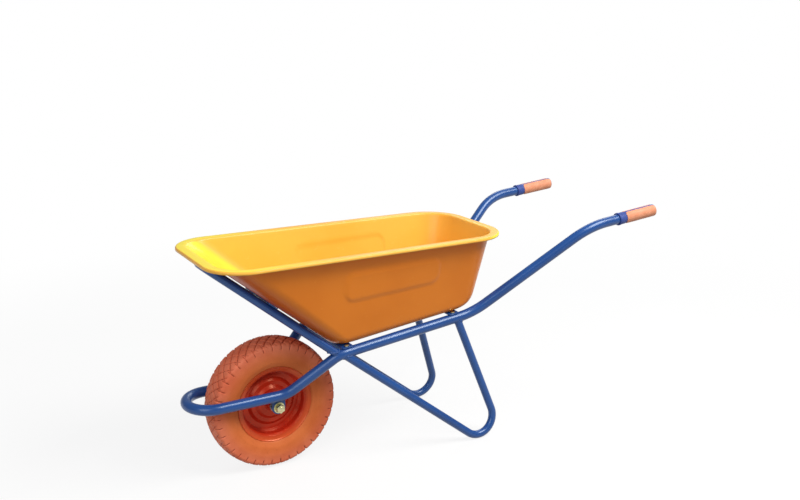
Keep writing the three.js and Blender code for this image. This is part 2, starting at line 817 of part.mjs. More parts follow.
const leftCage = ballCage(bearingFace - bearingWidth / 2);
sides.forEach(({ name, sign }) => {
  addPart(wheel, `rim_half_${name}`, leftRim, rimPaint).scale.y = sign;
  const outerRace = ring(
    outerRaceRadius - bearingRing,
    outerRaceRadius,
    bearingInside,
    bearingFace,
    24,
  );
  addPart(wheel, `bearing_outer_${name}`, outerRace, brightSteel).scale.y = sign;
  addPart(wheel, `bearing_balls_${name}`, leftCage, brightSteel).scale.y = sign;
  const innerRace = ring(axleHoleRadius, innerRaceRadius, bearingInside, bearingFace, axleSegments);
  addPart(barrow, `bearing_inner_${name}`, innerRace, brightSteel).scale.y = sign;
});

// ---------------------------------------------------------------- grips

const gripSegments = 20;
const gripBore = mainRadius + seatGap;
const gripCoreRadius = gripBore + gripCoreWall;
const coverInner = gripCoreRadius + seatGap;
const gripCoverRadius = coverInner + gripCoverWall;
const gripCollarRadius = gripCoreRadius + gripCollarStep;

// Grips are drawn along Y with y = 0 at the front of the collar and the closed end at gripLength.
const gripCore = spun(
  [
    [0, gripLength - gripCapThickness],
    [gripBore, gripLength - gripCapThickness],
    [gripBore, 0],
    [gripCollarRadius, 0],
    [gripCollarRadius, gripCollarLength],
    [gripCoreRadius, gripCollarLength],
    [gripCoreRadius, gripLength],
    [0, gripLength],
  ],
  gripSegments,
);

function gripCover() {
  const start = gripCollarLength + seatGap;
  const windowLength = gripLength - start - 2 * gripCoverBand;
  const window = new THREE.BoxGeometry(gripWindowWidth, windowLength, 4 * gripCoverRadius);
  window.translate(0, start + gripCoverBand + windowLength / 2, 0);
  return cut(ring(coverInner, gripCoverRadius, start, gripLength, gripSegments), window);
}

const coverGeometry = gripCover();
sides.forEach(({ name, sign }) => {
  const grip = new THREE.Group();
  const axis = at(handleAxis.x, sign * handleAxis.y, handleAxis.z);
  grip.position.set(axisEnd.x, sign * axisEnd.y, axisEnd.z).addScaledVector(axis, -gripLength);
  grip.rotation.z = Math.PI / 2;
  grip.rotation.y = Math.asin(handleAxis.z);
  grip.rotation.order = 'YZX';
  barrow.add(grip);
  addPart(grip, `grip_core_${name}`, gripCore, gripBlue);
  addPart(grip, `grip_cover_${name}`, coverGeometry, gripOrange);
});

// ---------------------------------------------------------------- origin on the ground

barrow.updateMatrixWorld(true);
const box = new THREE.Box3().setFromObject(barrow, true);
const middle = box.getCenter(new THREE.Vector3());
barrow.position.set(-middle.x, -middle.y, -box.min.z);

const wheelbarrow = new THREE.Group();
wheelbarrow.add(barrow);

export default wheelbarrow;
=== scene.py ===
import json
import math

import bmesh
import bpy
from mathutils import Matrix, Vector


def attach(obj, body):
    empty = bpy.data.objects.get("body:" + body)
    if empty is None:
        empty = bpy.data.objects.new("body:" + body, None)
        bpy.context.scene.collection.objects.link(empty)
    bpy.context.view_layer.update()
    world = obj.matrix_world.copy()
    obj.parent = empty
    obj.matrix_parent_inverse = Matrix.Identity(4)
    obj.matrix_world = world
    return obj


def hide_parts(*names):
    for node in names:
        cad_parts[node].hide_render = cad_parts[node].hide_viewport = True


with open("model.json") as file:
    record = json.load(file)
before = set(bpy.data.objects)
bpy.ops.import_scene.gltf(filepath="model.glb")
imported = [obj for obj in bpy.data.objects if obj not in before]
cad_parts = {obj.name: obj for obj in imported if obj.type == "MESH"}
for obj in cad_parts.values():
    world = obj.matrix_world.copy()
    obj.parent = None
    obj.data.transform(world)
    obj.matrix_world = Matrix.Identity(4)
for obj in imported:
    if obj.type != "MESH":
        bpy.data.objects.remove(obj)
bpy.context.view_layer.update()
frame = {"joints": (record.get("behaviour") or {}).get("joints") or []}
scene = bpy.context.scene
axle = Vector(frame["joints"][0]["pos_m"])  # the axle's middle, which the barrow is laid out from
up = Vector((0, 0, 1))
across = Vector((0, 1, 0))
bothSides = {"left": 1, "right": -1}
seatGap = 0.0003  # between pieces that touch

# camera, placed from the axle
cameraSizes = {
    "lens": 44.03, "sensor": 36, "place": (1.0548, 2.5786, 1.2001), "aim": (-0.4563, 0, 0.4104),
}
cameraData = bpy.data.cameras.new("camera")
cameraData.lens = cameraSizes["lens"]
cameraData.sensor_width = cameraSizes["sensor"]
camera = bpy.data.objects.new("camera", cameraData)
camera.location = axle + Vector(cameraSizes["place"])
sight = Vector(cameraSizes["aim"]) - Vector(cameraSizes["place"])
camera.rotation_euler = sight.to_track_quat("-Z", "Y").to_euler()
scene.collection.objects.link(camera)
scene.camera = camera
print("camera ready")


# shader maths
class Wire:
    def __init__(self, paint, socket):
        self.paint = paint
        self.socket = socket

    def math(self, operation, other=0.0, swapped=False):
        pair = (other, self) if swapped else (self, other)
        return self.paint.node("ShaderNodeMath", {"operation": operation}, pair)

    def __add__(self, other):
        return self.math("ADD", other)

    def __sub__(self, other):
        return self.math("SUBTRACT", other)

    def __rsub__(self, other):
        return self.math("SUBTRACT", other, True)

    def __mul__(self, other):
        return self.math("MULTIPLY", other)

    __radd__ = __add__
    __rmul__ = __mul__


class Paint:
    def __init__(self, name, **fixed):
        self.material = bpy.data.materials.new(name)
        self.material.use_nodes = True
        self.tree = self.material.node_tree
        self.shader = self.tree.nodes["Principled BSDF"]
        self.place = self.node("ShaderNodeTexCoord", output="Object")
        for socket, value in fixed.items():
            self.shader.inputs[socket.replace("_", " ")].default_value = value

    def node(self, kind, settings=None, values=(), output=0):
        made = self.tree.nodes.new(kind)
        for name, value in (settings or {}).items():
            if name == "stops":
                for stop, (position, color) in zip(made.color_ramp.elements, value):
                    stop.position = position
                    stop.color = color
            else:
                setattr(made, name, value)
        entries = values.items() if isinstance(values, dict) else enumerate(values)
        for key, value in entries:
            if isinstance(value, Wire):
                self.tree.links.new(value.socket, made.inputs[key])
            else:
                made.inputs[key].default_value = value
        return Wire(self, made.outputs[output])

    def feed(self, socket, wire):
        self.tree.links.new(wire.socket, self.shader.inputs[socket])

    def noise(self, scale, detail=2.0, stretch=None):
        where = self.place
        if stretch:
            where = self.node("ShaderNodeMapping", {}, {"Vector": where, "Scale": stretch})
        return self.node("ShaderNodeTexNoise", {}, {"Vector": where, "Scale": scale, "Detail": detail})

    def spread(self, wire, low, high, bottom=0.0, top=1.0):
        values = {"Value": wire, "From Min": low, "From Max": high, "To Min": bottom, "To Max": top}
        return self.node("ShaderNodeMapRange", {"interpolation_type": "SMOOTHSTEP"}, values)

    def mix(self, share, first, second, way="MIX"):
        settings = {"data_type": "RGBA", "blend_type": way}
        return self.node("ShaderNodeMix", settings, {0: share, 6: first, 7: second}, 2)

    # two close colours in soft clouds
    def cloudy(self, clouds, face, shade, low=0.3, high=0.7):
        return self.mix(self.spread(clouds, low, high), tint(*face), tint(*shade))

    def bump(self, height, distance, strength=1.0):
        values = {"Height": height, "Distance": distance, "Strength": strength}
        self.feed("Normal", self.node("ShaderNodeBump", {}, values))

    # distance from a line along Y through a point
    def aboutAxle(self, centre):
        values = {"Vector": self.place, "Location": -Vector(centre), "Scale": (1, 1, 1)}
        moved = self.node("ShaderNodeMapping", {}, values)
        flat = self.node("ShaderNodeVectorMath", {"operation": "MULTIPLY"}, {0: moved, 1: (1, 0, 1)})
        return self.node("ShaderNodeVectorMath", {"operation": "LENGTH"}, {0: flat}, "Value")


# a colour given as red, green, blue from 0 to 255
def tint(red, green, blue):
    linear = [((c / 255 + 0.055) / 1.055) ** 2.4 for c in (red, green, blue)]
    return (*linear, 1)


# finishes
trayFinish = {
    "coat": 0.1, "coatRough": 0.1, "specular": 0.25, "paintedLightShadeShare": 0.85, "rimRun": 0.35, "rimShare": 0.8,
    "scuffShare": 0.35, "bump": 0.0004, "bumpStrength": 0.5,
}
# turned here is painted shade: a deeper red-orange on faces that face forward
outsideColors = {
    "face": (238, 134, 30), "shade": (230, 126, 26), "scuff": (242, 150, 50), "turned": (192, 72, 28),
    "reach": (0.2, 0.7), "rimFrom": 2,
}
# the inside colours are a lit copy of the tray paint, lighter and yellower than the outside as painted light;
# turned here is a painted highlight, bright yellow on faces that face back inside the nose
litInsideColors = {
    "face": (252, 190, 78), "shade": (250, 182, 68), "scuff": (254, 204, 104), "turned": (250, 236, 70),
    "reach": (-0.2, -0.45), "rimFrom": 0.3,
}


# the wall that leans the way of reach takes a second colour, and so does the level rim ahead of rimFrom:
# painted shade on the outside and painted light on the inside
def trayPaint(name, colors):
    size = trayFinish
    paint = Paint(name, Coat_Weight=size["coat"], Coat_Roughness=size["coatRough"],
                  Specular_IOR_Level=size["specular"])
    clouds = paint.noise(4, 3)
    color = paint.cloudy(clouds, colors["face"], colors["shade"], 0.35, 0.7)
    facing = paint.node("ShaderNodeNewGeometry", output="Normal")
    forward = paint.node("ShaderNodeSeparateXYZ", {}, (facing,))
    level = paint.node("ShaderNodeSeparateXYZ", {}, (facing,), "Z")
    ahead = paint.node("ShaderNodeSeparateXYZ", {}, (paint.place,))
    rimFrom = colors["rimFrom"]
    # painted highlight: level faces ahead of rimFrom, the rim at the nose, take the turned colour
    nose = paint.spread(ahead, rimFrom, rimFrom + size["rimRun"], 0, size["rimShare"])
    rim = paint.spread(level, 0.93, 0.98) * nose
    # painted light and shade: faces that lean the way of reach take the turned colour
    paintedFacingLightShade = paint.spread(forward, *colors["reach"], 0, size["paintedLightShadeShare"])
    color = paint.mix(paintedFacingLightShade + rim, color, tint(*colors["turned"]))
    worn = paint.spread(paint.noise(55, 6, (1, 4, 1)), 0.62, 0.75, 0, size["scuffShare"])
    paint.feed("Base Color", paint.mix(worn, color, tint(*colors["scuff"])))
    paint.feed("Roughness", paint.spread(clouds + worn, 0.3, 1.1, 0.3, 0.48))
    paint.bump(paint.noise(260, 2) * 0.6 + paint.noise(24, 2), size["bump"], size["bumpStrength"])
    return paint.material


tubeFinish = {
    "face": (24, 76, 148), "shade": (18, 66, 134), "chip": (60, 76, 96), "chipShare": 0.6,
    "rough": (0.3, 0.36), "coat": 0.2, "coatRough": 0.12, "specular": 0.7,
    "tint": (0.7, 0.85, 1, 1), "bump": 0.00004,
}


def tubePaint(name):
    size = tubeFinish
    paint = Paint(name, Coat_Weight=size["coat"], Coat_Roughness=size["coatRough"],
                  Specular_IOR_Level=size["specular"], Specular_Tint=size["tint"])
    clouds = paint.noise(9, 3)
    color = paint.cloudy(clouds, size["face"], size["shade"], 0.3, 0.75)
    chips = paint.spread(paint.noise(130, 4), 0.71, 0.74, 0, size["chipShare"])
    paint.feed("Base Color", paint.mix(chips, color, tint(*size["chip"])))
    paint.feed("Roughness", paint.spread(clouds, 0.3, 0.8, *size["rough"]))
    paint.bump(paint.noise(180, 2) * 0.5 - chips, size["bump"], 0.3)
    return paint.material


foamFinish = {
    "wall": (228, 120, 60), "wallShade": (216, 106, 48), "crown": (240, 130, 94),
    "crownShade": (226, 110, 74), "crownFrom": 0.135, "crownTo": 0.192,
    "paintedHollowShade": (150, 56, 28), "paintedHollowShadeShare": 0.7, "speckle": (160, 62, 28),
    "rough": (0.5, 0.68), "specular": 0.35, "bump": 0.0003,
}


def foamPaint(name):
    size = foamFinish
    paint = Paint(name, Specular_IOR_Level=size["specular"])
    clouds = paint.noise(14, 4)
    outer = paint.spread(paint.aboutAxle(axle), size["crownFrom"], size["crownTo"])
    wall = paint.cloudy(clouds, size["wall"], size["wallShade"])
    color = paint.mix(outer, wall, paint.cloudy(clouds, size["crown"], size["crownShade"]))
    # painted shade: hollows in the tread, where Pointiness is low, are painted darker
    hollows = paint.node("ShaderNodeNewGeometry", output="Pointiness")
    paintedHollowShade = paint.spread(hollows, 0.495, 0.45, 0, size["paintedHollowShadeShare"])
    speckle = paint.spread(paint.noise(260, 3), 0.6, 0.72, 0, 0.25)
    color = paint.mix(paintedHollowShade, color, tint(*size["paintedHollowShade"]))
    paint.feed("Base Color", paint.mix(speckle, color, tint(*size["speckle"])))
    paint.feed("Roughness", paint.spread(clouds, 0.3, 0.7, *size["rough"]))
    paint.bump(paint.noise(700, 3) + paint.noise(60, 2) * 0.5, size["bump"], 0.6)
    return paint.material


# edge is a painted reflection ring, not a colour of the rim's edge
enamelFinish = {
    "face": (206, 50, 26), "shade": (190, 40, 22), "edge": (224, 96, 48), "reflectionRingFrom": 0.096, "reflectionRingTo": 0.114,
    "reflectionRingShare": 0.75, "rough": (0.2, 0.3), "specular": 0.6, "tint": (1, 0.5, 0.3, 1), "bump": 0.00006,
}


def enamelPaint(name):
    size = enamelFinish
    paint = Paint(name, Specular_IOR_Level=size["specular"], Specular_Tint=size["tint"])
    clouds = paint.noise(18, 3)
    color = paint.cloudy(clouds, size["face"], size["shade"])
    # painted reflection: a lighter orange ring round the axle across the drum and bead
    edge = paint.spread(paint.aboutAxle(axle), size["reflectionRingFrom"], size["reflectionRingTo"], 0, size["reflectionRingShare"])
    paint.feed("Base Color", paint.mix(edge, color, tint(*size["edge"])))
    paint.feed("Roughness", paint.spread(clouds, 0.3, 0.7, *size["rough"]))
    paint.bump(paint.noise(380, 2), size["bump"], 0.4)
    return paint.material


# bare metal with fine turning marks round Y
def platedMetal(name, face, shade):
    paint = Paint(name, Metallic=1.0)
    clouds = paint.noise(120, 4)
    paint.feed("Base Color", paint.cloudy(clouds, face, shade))
    paint.feed("Roughness", paint.spread(clouds, 0.3, 0.7, 0.24, 0.42))
    paint.bump(paint.noise(900, 2, (1, 8, 1)), 0.0001, 0.5)
    return paint.material


gripFinish = {"pitch": 0.004, "grooveShade": 0.6, "grooveShare": 0.25, "rough": (0.48, 0.62), "bump": 0.0002}


# rubber with fine ridges along the handle's X
def gripRubber(name, face, shade):
    size = gripFinish
    paint = Paint(name, Specular_IOR_Level=0.4)
    clouds = paint.noise(60, 4)
    color = paint.cloudy(clouds, face, shade)
    wave = {"wave_type": "BANDS", "bands_direction": "X", "wave_profile": "SIN"}
    ridges = paint.node("ShaderNodeTexWave", wave, {"Vector": paint.place, "Scale": 1 / size["pitch"]})
    # painted shade: the grooves between the ridges are painted darker
    grooves = paint.spread(ridges, 0.35, 0.0, 0, size["grooveShare"])
    paint.feed("Base Color", paint.mix(grooves, color, tint(*[c * size["grooveShade"] for c in face])))
    paint.feed("Roughness", paint.spread(clouds, 0.3, 0.7, *size["rough"]))
    paint.bump(ridges + paint.noise(800, 2) * 0.2, size["bump"], 0.35)
    return paint.material


finishes = {
    "trayOut": trayPaint("trayOutside", outsideColors),
    "trayIn": trayPaint("trayInsideLit", litInsideColors),
    "frame": tubePaint("frameBlue"),
    "rim": enamelPaint("rimRed"),
    "tyre": foamPaint("tyreFoam"),
    "zinc": platedMetal("zincPlate", (222, 218, 172), (196, 192, 150)),
    "steel": platedMetal("bearingSteel", (196, 198, 202), (170, 173, 178)),
    "gripBase": gripRubber("gripBlue", (62, 84, 158), (50, 70, 142)),
    "gripCover": gripRubber("gripOrange", (236, 160, 124), (228, 148, 110)),
}
print("finishes ready")


# mesh helpers
def makePiece(name, bm, finish, body, nodes, bevel=0.0, crease=35, turnRound=False):
    bmesh.ops.remove_doubles(bm, verts=bm.verts, dist=1e-6)
    bmesh.ops.recalc_face_normals(bm, faces=bm.faces)
    if turnRound:
        bmesh.ops.reverse_faces(bm, faces=bm.faces)
    mesh = bpy.data.meshes.new(name)
    bm.to_mesh(mesh)
    bm.free()
    mesh.shade_smooth()
    mesh.set_sharp_from_angle(angle=math.radians(crease))
    mesh.materials.append(finishes[finish])
    piece = bpy.data.objects.new(name, mesh)
    scene.collection.objects.link(piece)
    if bevel:
        edges = piece.modifiers.new("edges", "BEVEL")
        edges.width = bevel
        edges.segments = 3
        edges.limit_method = "ANGLE"
        edges.angle_limit = math.radians(crease)
        edges.harden_normals = True
    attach(piece, body)
    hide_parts(*nodes)
    return piece


def edgesOf(verts):
    return list({edge for vert in verts for edge in vert.link_edges})


# a copy of a ring, joined to it by a wall
def copyRing(bm, edges):
    made = bmesh.ops.extrude_edge_only(bm, edges=edges)["geom"]
    verts = [item for item in made if isinstance(item, bmesh.types.BMVert)]
    fresh = set(verts)
    ring = [item for item in made if isinstance(item, bmesh.types.BMEdge) and fresh.issuperset(item.verts)]
    return verts, ring


# moves a ring on and leaves a wall behind it
def pullRing(bm, edges, step):
    verts, ring = copyRing(bm, edges)
    bmesh.ops.translate(bm, verts=verts, vec=step)
    return ring


# a round tube along straights that meet in bends
def bendTube(corners, bends, radius, sides=32, stepAngle=math.radians(4)):
    bm = bmesh.new()
    heading = (corners[1] - corners[0]).normalized()
    facing = Matrix.Translation(corners[0]) @ heading.to_track_quat("Z", "Y").to_matrix().to_4x4()
    first = bmesh.ops.create_circle(bm, segments=sides, radius=radius, matrix=facing)["verts"]
    ring = edgesOf(first)
    bmesh.ops.contextual_create(bm, geom=ring)
    place = corners[0]
    for before, corner, after, bend in zip(corners, corners[1:], corners[2:], bends):
        into = (corner - before).normalized()
        out = (after - corner).normalized()
        turn = into.angle(out)
        reach = bend * math.tan(turn / 2)
        start = corner - into * reach
        ring = pullRing(bm, ring, start - place)
        hinge = into.cross(out).normalized()
        middle = start + hinge.cross(into) * bend
        steps = math.ceil(turn / stepAngle)
        last = bmesh.ops.spin(bm, geom=ring, cent=middle, axis=hinge, angle=turn, steps=steps)["geom_last"]
        ring = [item for item in last if isinstance(item, bmesh.types.BMEdge)]
        place = corner + out * reach
    ring = pullRing(bm, ring, corners[-1] - place)
    bmesh.ops.contextual_create(bm, geom=ring)
    return bm


# a profile of (radius, distance along the axis) points, spun about that axis
def turnProfile(profile, centre, axis, steps):
    bm = bmesh.new()
    outward = axis.orthogonal().normalized() if abs(axis.y) < 0.99 else Vector((1, 0, 0))
    verts = [bm.verts.new(centre + outward * radius + axis * along) for radius, along in profile]
    for first, second in zip(verts, verts[1:]):
        bm.edges.new((first, second))
    if profile[0][0] > 0 or profile[-1][0] > 0:
        bm.edges.new((verts[-1], verts[0]))
    bmesh.ops.spin(bm, geom=verts + list(bm.edges), cent=centre, axis=axis,
                   angle=math.tau, steps=steps, use_merge=True)
    return bm


def hexBlock(flats, height, chamfer, matrix):
    bm = bmesh.new()
    bmesh.ops.create_circle(bm, segments=6, radius=flats / math.sqrt(3), cap_ends=True)
    made = bmesh.ops.extrude_face_region(bm, geom=list(bm.faces))["geom"]
    top = [item for item in made if isinstance(item, bmesh.types.BMVert)]
    bmesh.ops.translate(bm, verts=top, vec=(0, 0, height))
    rims = [edge for edge in bm.edges if abs(edge.verts[0].co.z - edge.verts[1].co.z) < 1e-6]
    bmesh.ops.bevel(bm, geom=rims, offset=chamfer, affect="EDGES", segments=2, profile=0.5, material=-1)
    bmesh.ops.transform(bm, matrix=matrix, verts=bm.verts)
    return bm


def mergeInto(bm, other):
    spare = bpy.data.meshes.new("spare")
    other.to_mesh(spare)
    other.free()
    bm.from_mesh(spare)
    bpy.data.meshes.remove(spare)


# main frame tube
mainSizes = {
    "radius": 0.016, "loopHalf": 0.073, "loopFront": 0.2585, "loopHeight": 0.040,
    "kneeX": -0.023, "kneeBend": 0.070,
    "deckHalf": 0.136, "deckFront": (-0.167, 0.158), "deckFrontBend": 0.062,
    "deckRear": (-0.645, 0.210), "deckRearBend": 0.165,
    "handleHalf": 0.272, "shoulder": (-0.997, 0.477), "shoulderBend": 0.200,
    "handleEnd": (-1.267, 0.502), "gripCap": 0.0043,
}


def fromAxle(x, y, z):
    return axle + Vector((x, y, z))


def deckCorner(key, half):
    x, z = mainSizes[key]
    return fromAxle(x, mainSizes[half], z)


handleEnd = deckCorner("handleEnd", "handleHalf")
shoulder = deckCorner("shoulder", "handleHalf")
handleAxis = (handleEnd - shoulder).normalized()
deckFront = deckCorner("deckFront", "deckHalf")
deckRear = deckCorner("deckRear", "deckHalf")
leftRoute = [
    handleEnd - handleAxis * mainSizes["gripCap"],
    shoulder,
    deckRear,
    deckFront,
    fromAxle(mainSizes["kneeX"], mainSizes["loopHalf"], mainSizes["loopHeight"]),
    fromAxle(mainSizes["loopFront"], mainSizes["loopHalf"], mainSizes["loopHeight"]),
]
bendNames = ("shoulderBend", "deckRearBend", "deckFrontBend", "kneeBend", "loopHalf")
leftBends = [mainSizes[key] for key in bendNames]


def mirrored(point):
    return Vector((point.x, -point.y, point.z))


wholeRoute = leftRoute + [mirrored(point) for point in reversed(leftRoute)]
mainTube = bendTube(wholeRoute, leftBends + leftBends[::-1], mainSizes["radius"], 40)
makePiece("mainTube", mainTube, "frame", "frame", ["main_frame_tube"], crease=60)

# the deck's own frame: X forward along the tubes, Z square to them
deckSlope = (deckRear.z - deckFront.z) / (deckFront.x - deckRear.x)
deckTilt = math.atan(deckSlope)
deckMiddle = Vector((deckFront.x, 0, deckFront.z))
deckMatrix = Matrix.Translation(deckMiddle) @ Matrix.Rotation(deckTilt, 4, "Y")
print("main tube ready")


# weld beads
beadSizes = {"thick": 0.0024, "ripple": 0.16, "ripples": 26, "points": 130, "seamPoints": 60}


# where one tube's wall meets another tube that it ends on
def saddlePoints(end, heading, radius, mainPoint, mainHeading, mainRadius):
    sideways = heading.orthogonal().normalized()
    other = heading.cross(sideways)
    points = []
    for i in range(beadSizes["points"]):
        angle = math.tau * i / beadSizes["points"]
        start = end + (sideways * math.cos(angle) + other * math.sin(angle)) * radius
        offset = start - mainPoint
        flatOffset = offset - mainHeading * offset.dot(mainHeading)
        flatHeading = heading - mainHeading * heading.dot(mainHeading)
        a = flatHeading.length_squared
        b = 2 * flatOffset.dot(flatHeading)
        c = flatOffset.length_squared - mainRadius ** 2
        reach = (-b + math.sqrt(max(b * b - 4 * a * c, 0))) / (2 * a)
        points.append(start + heading * reach)
    return points


def weldBead(name, points, closed=True):
    curve = bpy.data.curves.new(name, "CURVE")
    curve.dimensions = "3D"
    curve.bevel_depth = beadSizes["thick"]
    curve.bevel_resolution = 3
    curve.use_fill_caps = not closed
    line = curve.splines.new("POLY")
    line.points.add(len(points) - 1)
    for i, (knot, point) in enumerate(zip(line.points, points)):
        knot.co = (*point, 1)
        knot.radius = 1 + beadSizes["ripple"] * math.sin(math.tau * i * beadSizes["ripples"] / len(points))
    line.use_cyclic_u = closed
    spare = bpy.data.objects.new(name, curve)
    mesh = bpy.data.meshes.new_from_object(spare)
    bpy.data.objects.remove(spare)
    bpy.data.curves.remove(curve)
    mesh.name = name
    mesh.shade_smooth()
    mesh.materials.clear()
    mesh.materials.append(finishes["frame"])
    piece = bpy.data.objects.new(name, mesh)
    scene.collection.objects.link(piece)
    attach(piece, "frame")


# legs
legSizes = {
    "radius": 0.0125, "bend": 0.058, "frontX": -0.180, "rearX": -0.584, "foot": (-0.759, 0.208, -0.2988),
}
deckHeading = (deckRear - deckFront).normalized()


def onDeckLine(x):
    frontX, frontHeight = mainSizes["deckFront"]
    return fromAxle(x, mainSizes["deckHalf"], frontHeight + (frontX - x) * deckSlope)


for side, sign in bothSides.items():
    turned = (lambda point: point) if sign > 0 else mirrored
    foot = turned(fromAxle(*legSizes["foot"]))
    tops = {"Front": turned(onDeckLine(legSizes["frontX"])), "Rear": turned(onDeckLine(legSizes["rearX"]))}
    leg = bendTube([tops["Front"], foot, tops["Rear"]], [legSizes["bend"]], legSizes["radius"])
    makePiece(f"legTube_{side}", leg, "frame", "frame", [f"leg_{side}"], crease=60)
    for end, top in tops.items():
        down = (foot - top).normalized()
        bead = saddlePoints(top, down, legSizes["radius"], top, turned(deckHeading), mainSizes["radius"])
        weldBead(f"weldLeg{end}_{side}", bead)
print("legs ready")

# tray
traySizes = {
    "sheet": 0.0012, "frontX": 0.229, "rearX": -0.748, "frontHalf": 0.224, "rearHalf": 0.216,
    "frontHeight": 0.480, "rearHeight": 0.472, "flange": 0.029, "lip": 0.008, "lipRound": 0.005,
    "crease": 0.006, "frontCorner": 0.117, "rearCorner": 0.132,
    "floorHalf": 0.138, "floorRearX": -0.655, "floorCorner": 0.050,
    "sideRound": 0.030, "frontRound": 0.040, "rearRound": 0.060,
    "cornerSteps": 18, "sideSteps": 120, "endSteps": 24, "wallSteps": 44, "creaseSteps": 5, "lipSteps": 6,
    "bunching": 1.35,
}
strapSizes = {
    "width": 0.035, "thick": 0.004, "overhang": 0.009, "noseOverhang": 0.010,
    "frontBack": 0.029, "rearAhead": 0.022, "noseUp": 0.250, "corner": 0.006, "edge": 0.0007,
}
panelSizes = {
    "middleX": -0.335, "halfLength": 0.160, "low": 0.50, "high": 0.80, "corner": 0.030, "edge": 0.005,
    "wall": 0.30, "depth": 0.0035,
}
braceSizes = {"radius": 0.0125, "length": 0.471, "bend": 0.045}

strapTop = mainSizes["radius"] + seatGap + strapSizes["thick"]
trayUnder = strapTop + seatGap


def floorPlane(x):
    front = mainSizes["deckFront"]
    return front[1] + (front[0] - x) * deckSlope + trayUnder / math.cos(deckTilt)


def rimPlane(x):
    slope = (traySizes["rearHeight"] - traySizes["frontHeight"]) / (traySizes["rearX"] - traySizes["frontX"])
    return traySizes["frontHeight"] + (x - traySizes["frontX"]) * slope


# the front wall lies on its strap, parallel to the brace
wallTopX = traySizes["frontX"] - traySizes["flange"]
wallTopHeight = rimPlane(wallTopX) - traySizes["sheet"]
wallClearance = braceSizes["radius"] + 2 * seatGap + strapSizes["thick"]
noseRun = wallTopX - mainSizes["deckFront"][0]
noseRise = wallTopHeight - mainSizes["deckFront"][1]
noseAngle = math.acos(wallClearance / math.hypot(noseRun, noseRise)) - math.atan2(noseRun, noseRise)
noseSlope = math.tan(noseAngle)
floorFrontX = (floorPlane(0) - wallTopHeight + wallTopX * noseSlope) / (noseSlope + deckSlope)
rearTopX = traySizes["rearX"] + traySizes["flange"]
rearLean = (traySizes["floorRearX"] - rearTopX) / (rimPlane(rearTopX) - floorPlane(traySizes["floorRearX"]))


# how far a rounded floor edge stays inside the sharp corner of floor and wall
def edgeInset(height, radius, lean):
    turn = math.pi / 2 - math.atan(lean)
    if height >= radius * (1 - math.cos(turn)):
        return 0
    return height * lean + radius * math.tan(turn / 2) - math.sqrt(radius ** 2 - (radius - height) ** 2)


def smoothStep(low, high, value):
    share = min(max((value - low) / (high - low), 0), 1)
    return share * share * (3 - 2 * share)


# a plain pressed panel on each side wall
def panelBulge(x, rise):
    half = (panelSizes["high"] - panelSizes["low"]) / 2
    middle = (panelSizes["high"] + panelSizes["low"]) / 2
    pastEnd = max(abs(x - panelSizes["middleX"]) - panelSizes["halfLength"] + panelSizes["corner"], 0)
    pastTop = max((abs(rise - middle) - half) * panelSizes["wall"] + panelSizes["corner"], 0)
    away = math.hypot(pastEnd, pastTop) - panelSizes["corner"]
    return panelSizes["depth"] * smoothStep(panelSizes["edge"], -panelSizes["edge"], away)


# one ring of the tray's outer skin; rise runs from 0 on the floor to 1 at the rim
def trayOutline(rise, outset=0.0, drop=0.0):
    def level(x):
        return (1 - rise) * floorPlane(x) + rise * (rimPlane(x) - traySizes["sheet"])

    levelSlope = level(1) - level(0)
    rearFoot = floorPlane(traySizes["floorRearX"])
    height = rise * (rimPlane(traySizes["floorRearX"]) - rearFoot)
    front = (wallTopHeight - wallTopX * noseSlope - level(0)) / (levelSlope - noseSlope)
    rear = (traySizes["floorRearX"] - rearLean * (level(0) - rearFoot)) / (1 + rearLean * levelSlope)
    depths = {"front": wallTopHeight - floorPlane(floorFrontX), "rear": rimPlane(rear) - rearFoot}

    def halfAt(end):
        top = traySizes[end + "Half"] - traySizes["flange"]
        lean = (top - traySizes["floorHalf"]) / depths[end]
        straight = traySizes["floorHalf"] + (top - traySizes["floorHalf"]) * rise
        return straight - edgeInset(height, traySizes["sideRound"], lean) + outset

    def cornerAt(end):
        top = traySizes[end + "Corner"] - traySizes["flange"]
        return traySizes["floorCorner"] + (top - traySizes["floorCorner"]) * rise + outset

    front += outset - edgeInset(height, traySizes["frontRound"], 1 / noseSlope)
    rear -= outset - edgeInset(height, traySizes["rearRound"], rearLean)
    corners = [(front, "front", -1, -1), (rear, "rear", 1, -1), (rear, "rear", 1, 1), (front, "front", -1, 1)]
    arcs = []
    for quarter, (x, end, inX, inY) in enumerate(corners):
        radius = cornerAt(end)
        arc = []
        for i in range(traySizes["cornerSteps"] + 1):
            angle = (quarter + i / traySizes["cornerSteps"]) * math.pi / 2
            px = x + inX * radius + radius * math.cos(angle)
            py = -inY * halfAt(end) + inY * radius + radius * math.sin(angle)
            arc.append((px, py))
        arcs.append(arc)
    points = []
    for quarter, arc in enumerate(arcs):
        points += arc
        onSide = quarter in (0, 2)
        steps = traySizes["sideSteps"] if onSide else traySizes["endSteps"]
        (x1, y1), (x2, y2) = arc[-1], arcs[(quarter + 1) % 4][0]
        for i in range(1, steps):
            px = x1 + (x2 - x1) * i / steps
            py = y1 + (y2 - y1) * i / steps
            if onSide and outset == 0:
                py += math.copysign(panelBulge(px, rise), py)
            points.append((px, py))
    return [fromAxle(px, py, level(px) - drop) for px, py in points]


# a row of rings that rounds the corner between three rings
def roundedRings(first, corner, last, steps):
    rings = []
    for i in range(steps + 1):
        t = i / steps
        places = zip(first, corner, last)
        rings.append([a * (1 - t) ** 2 + b * 2 * t * (1 - t) + c * t * t for a, b, c in places])
    return rings


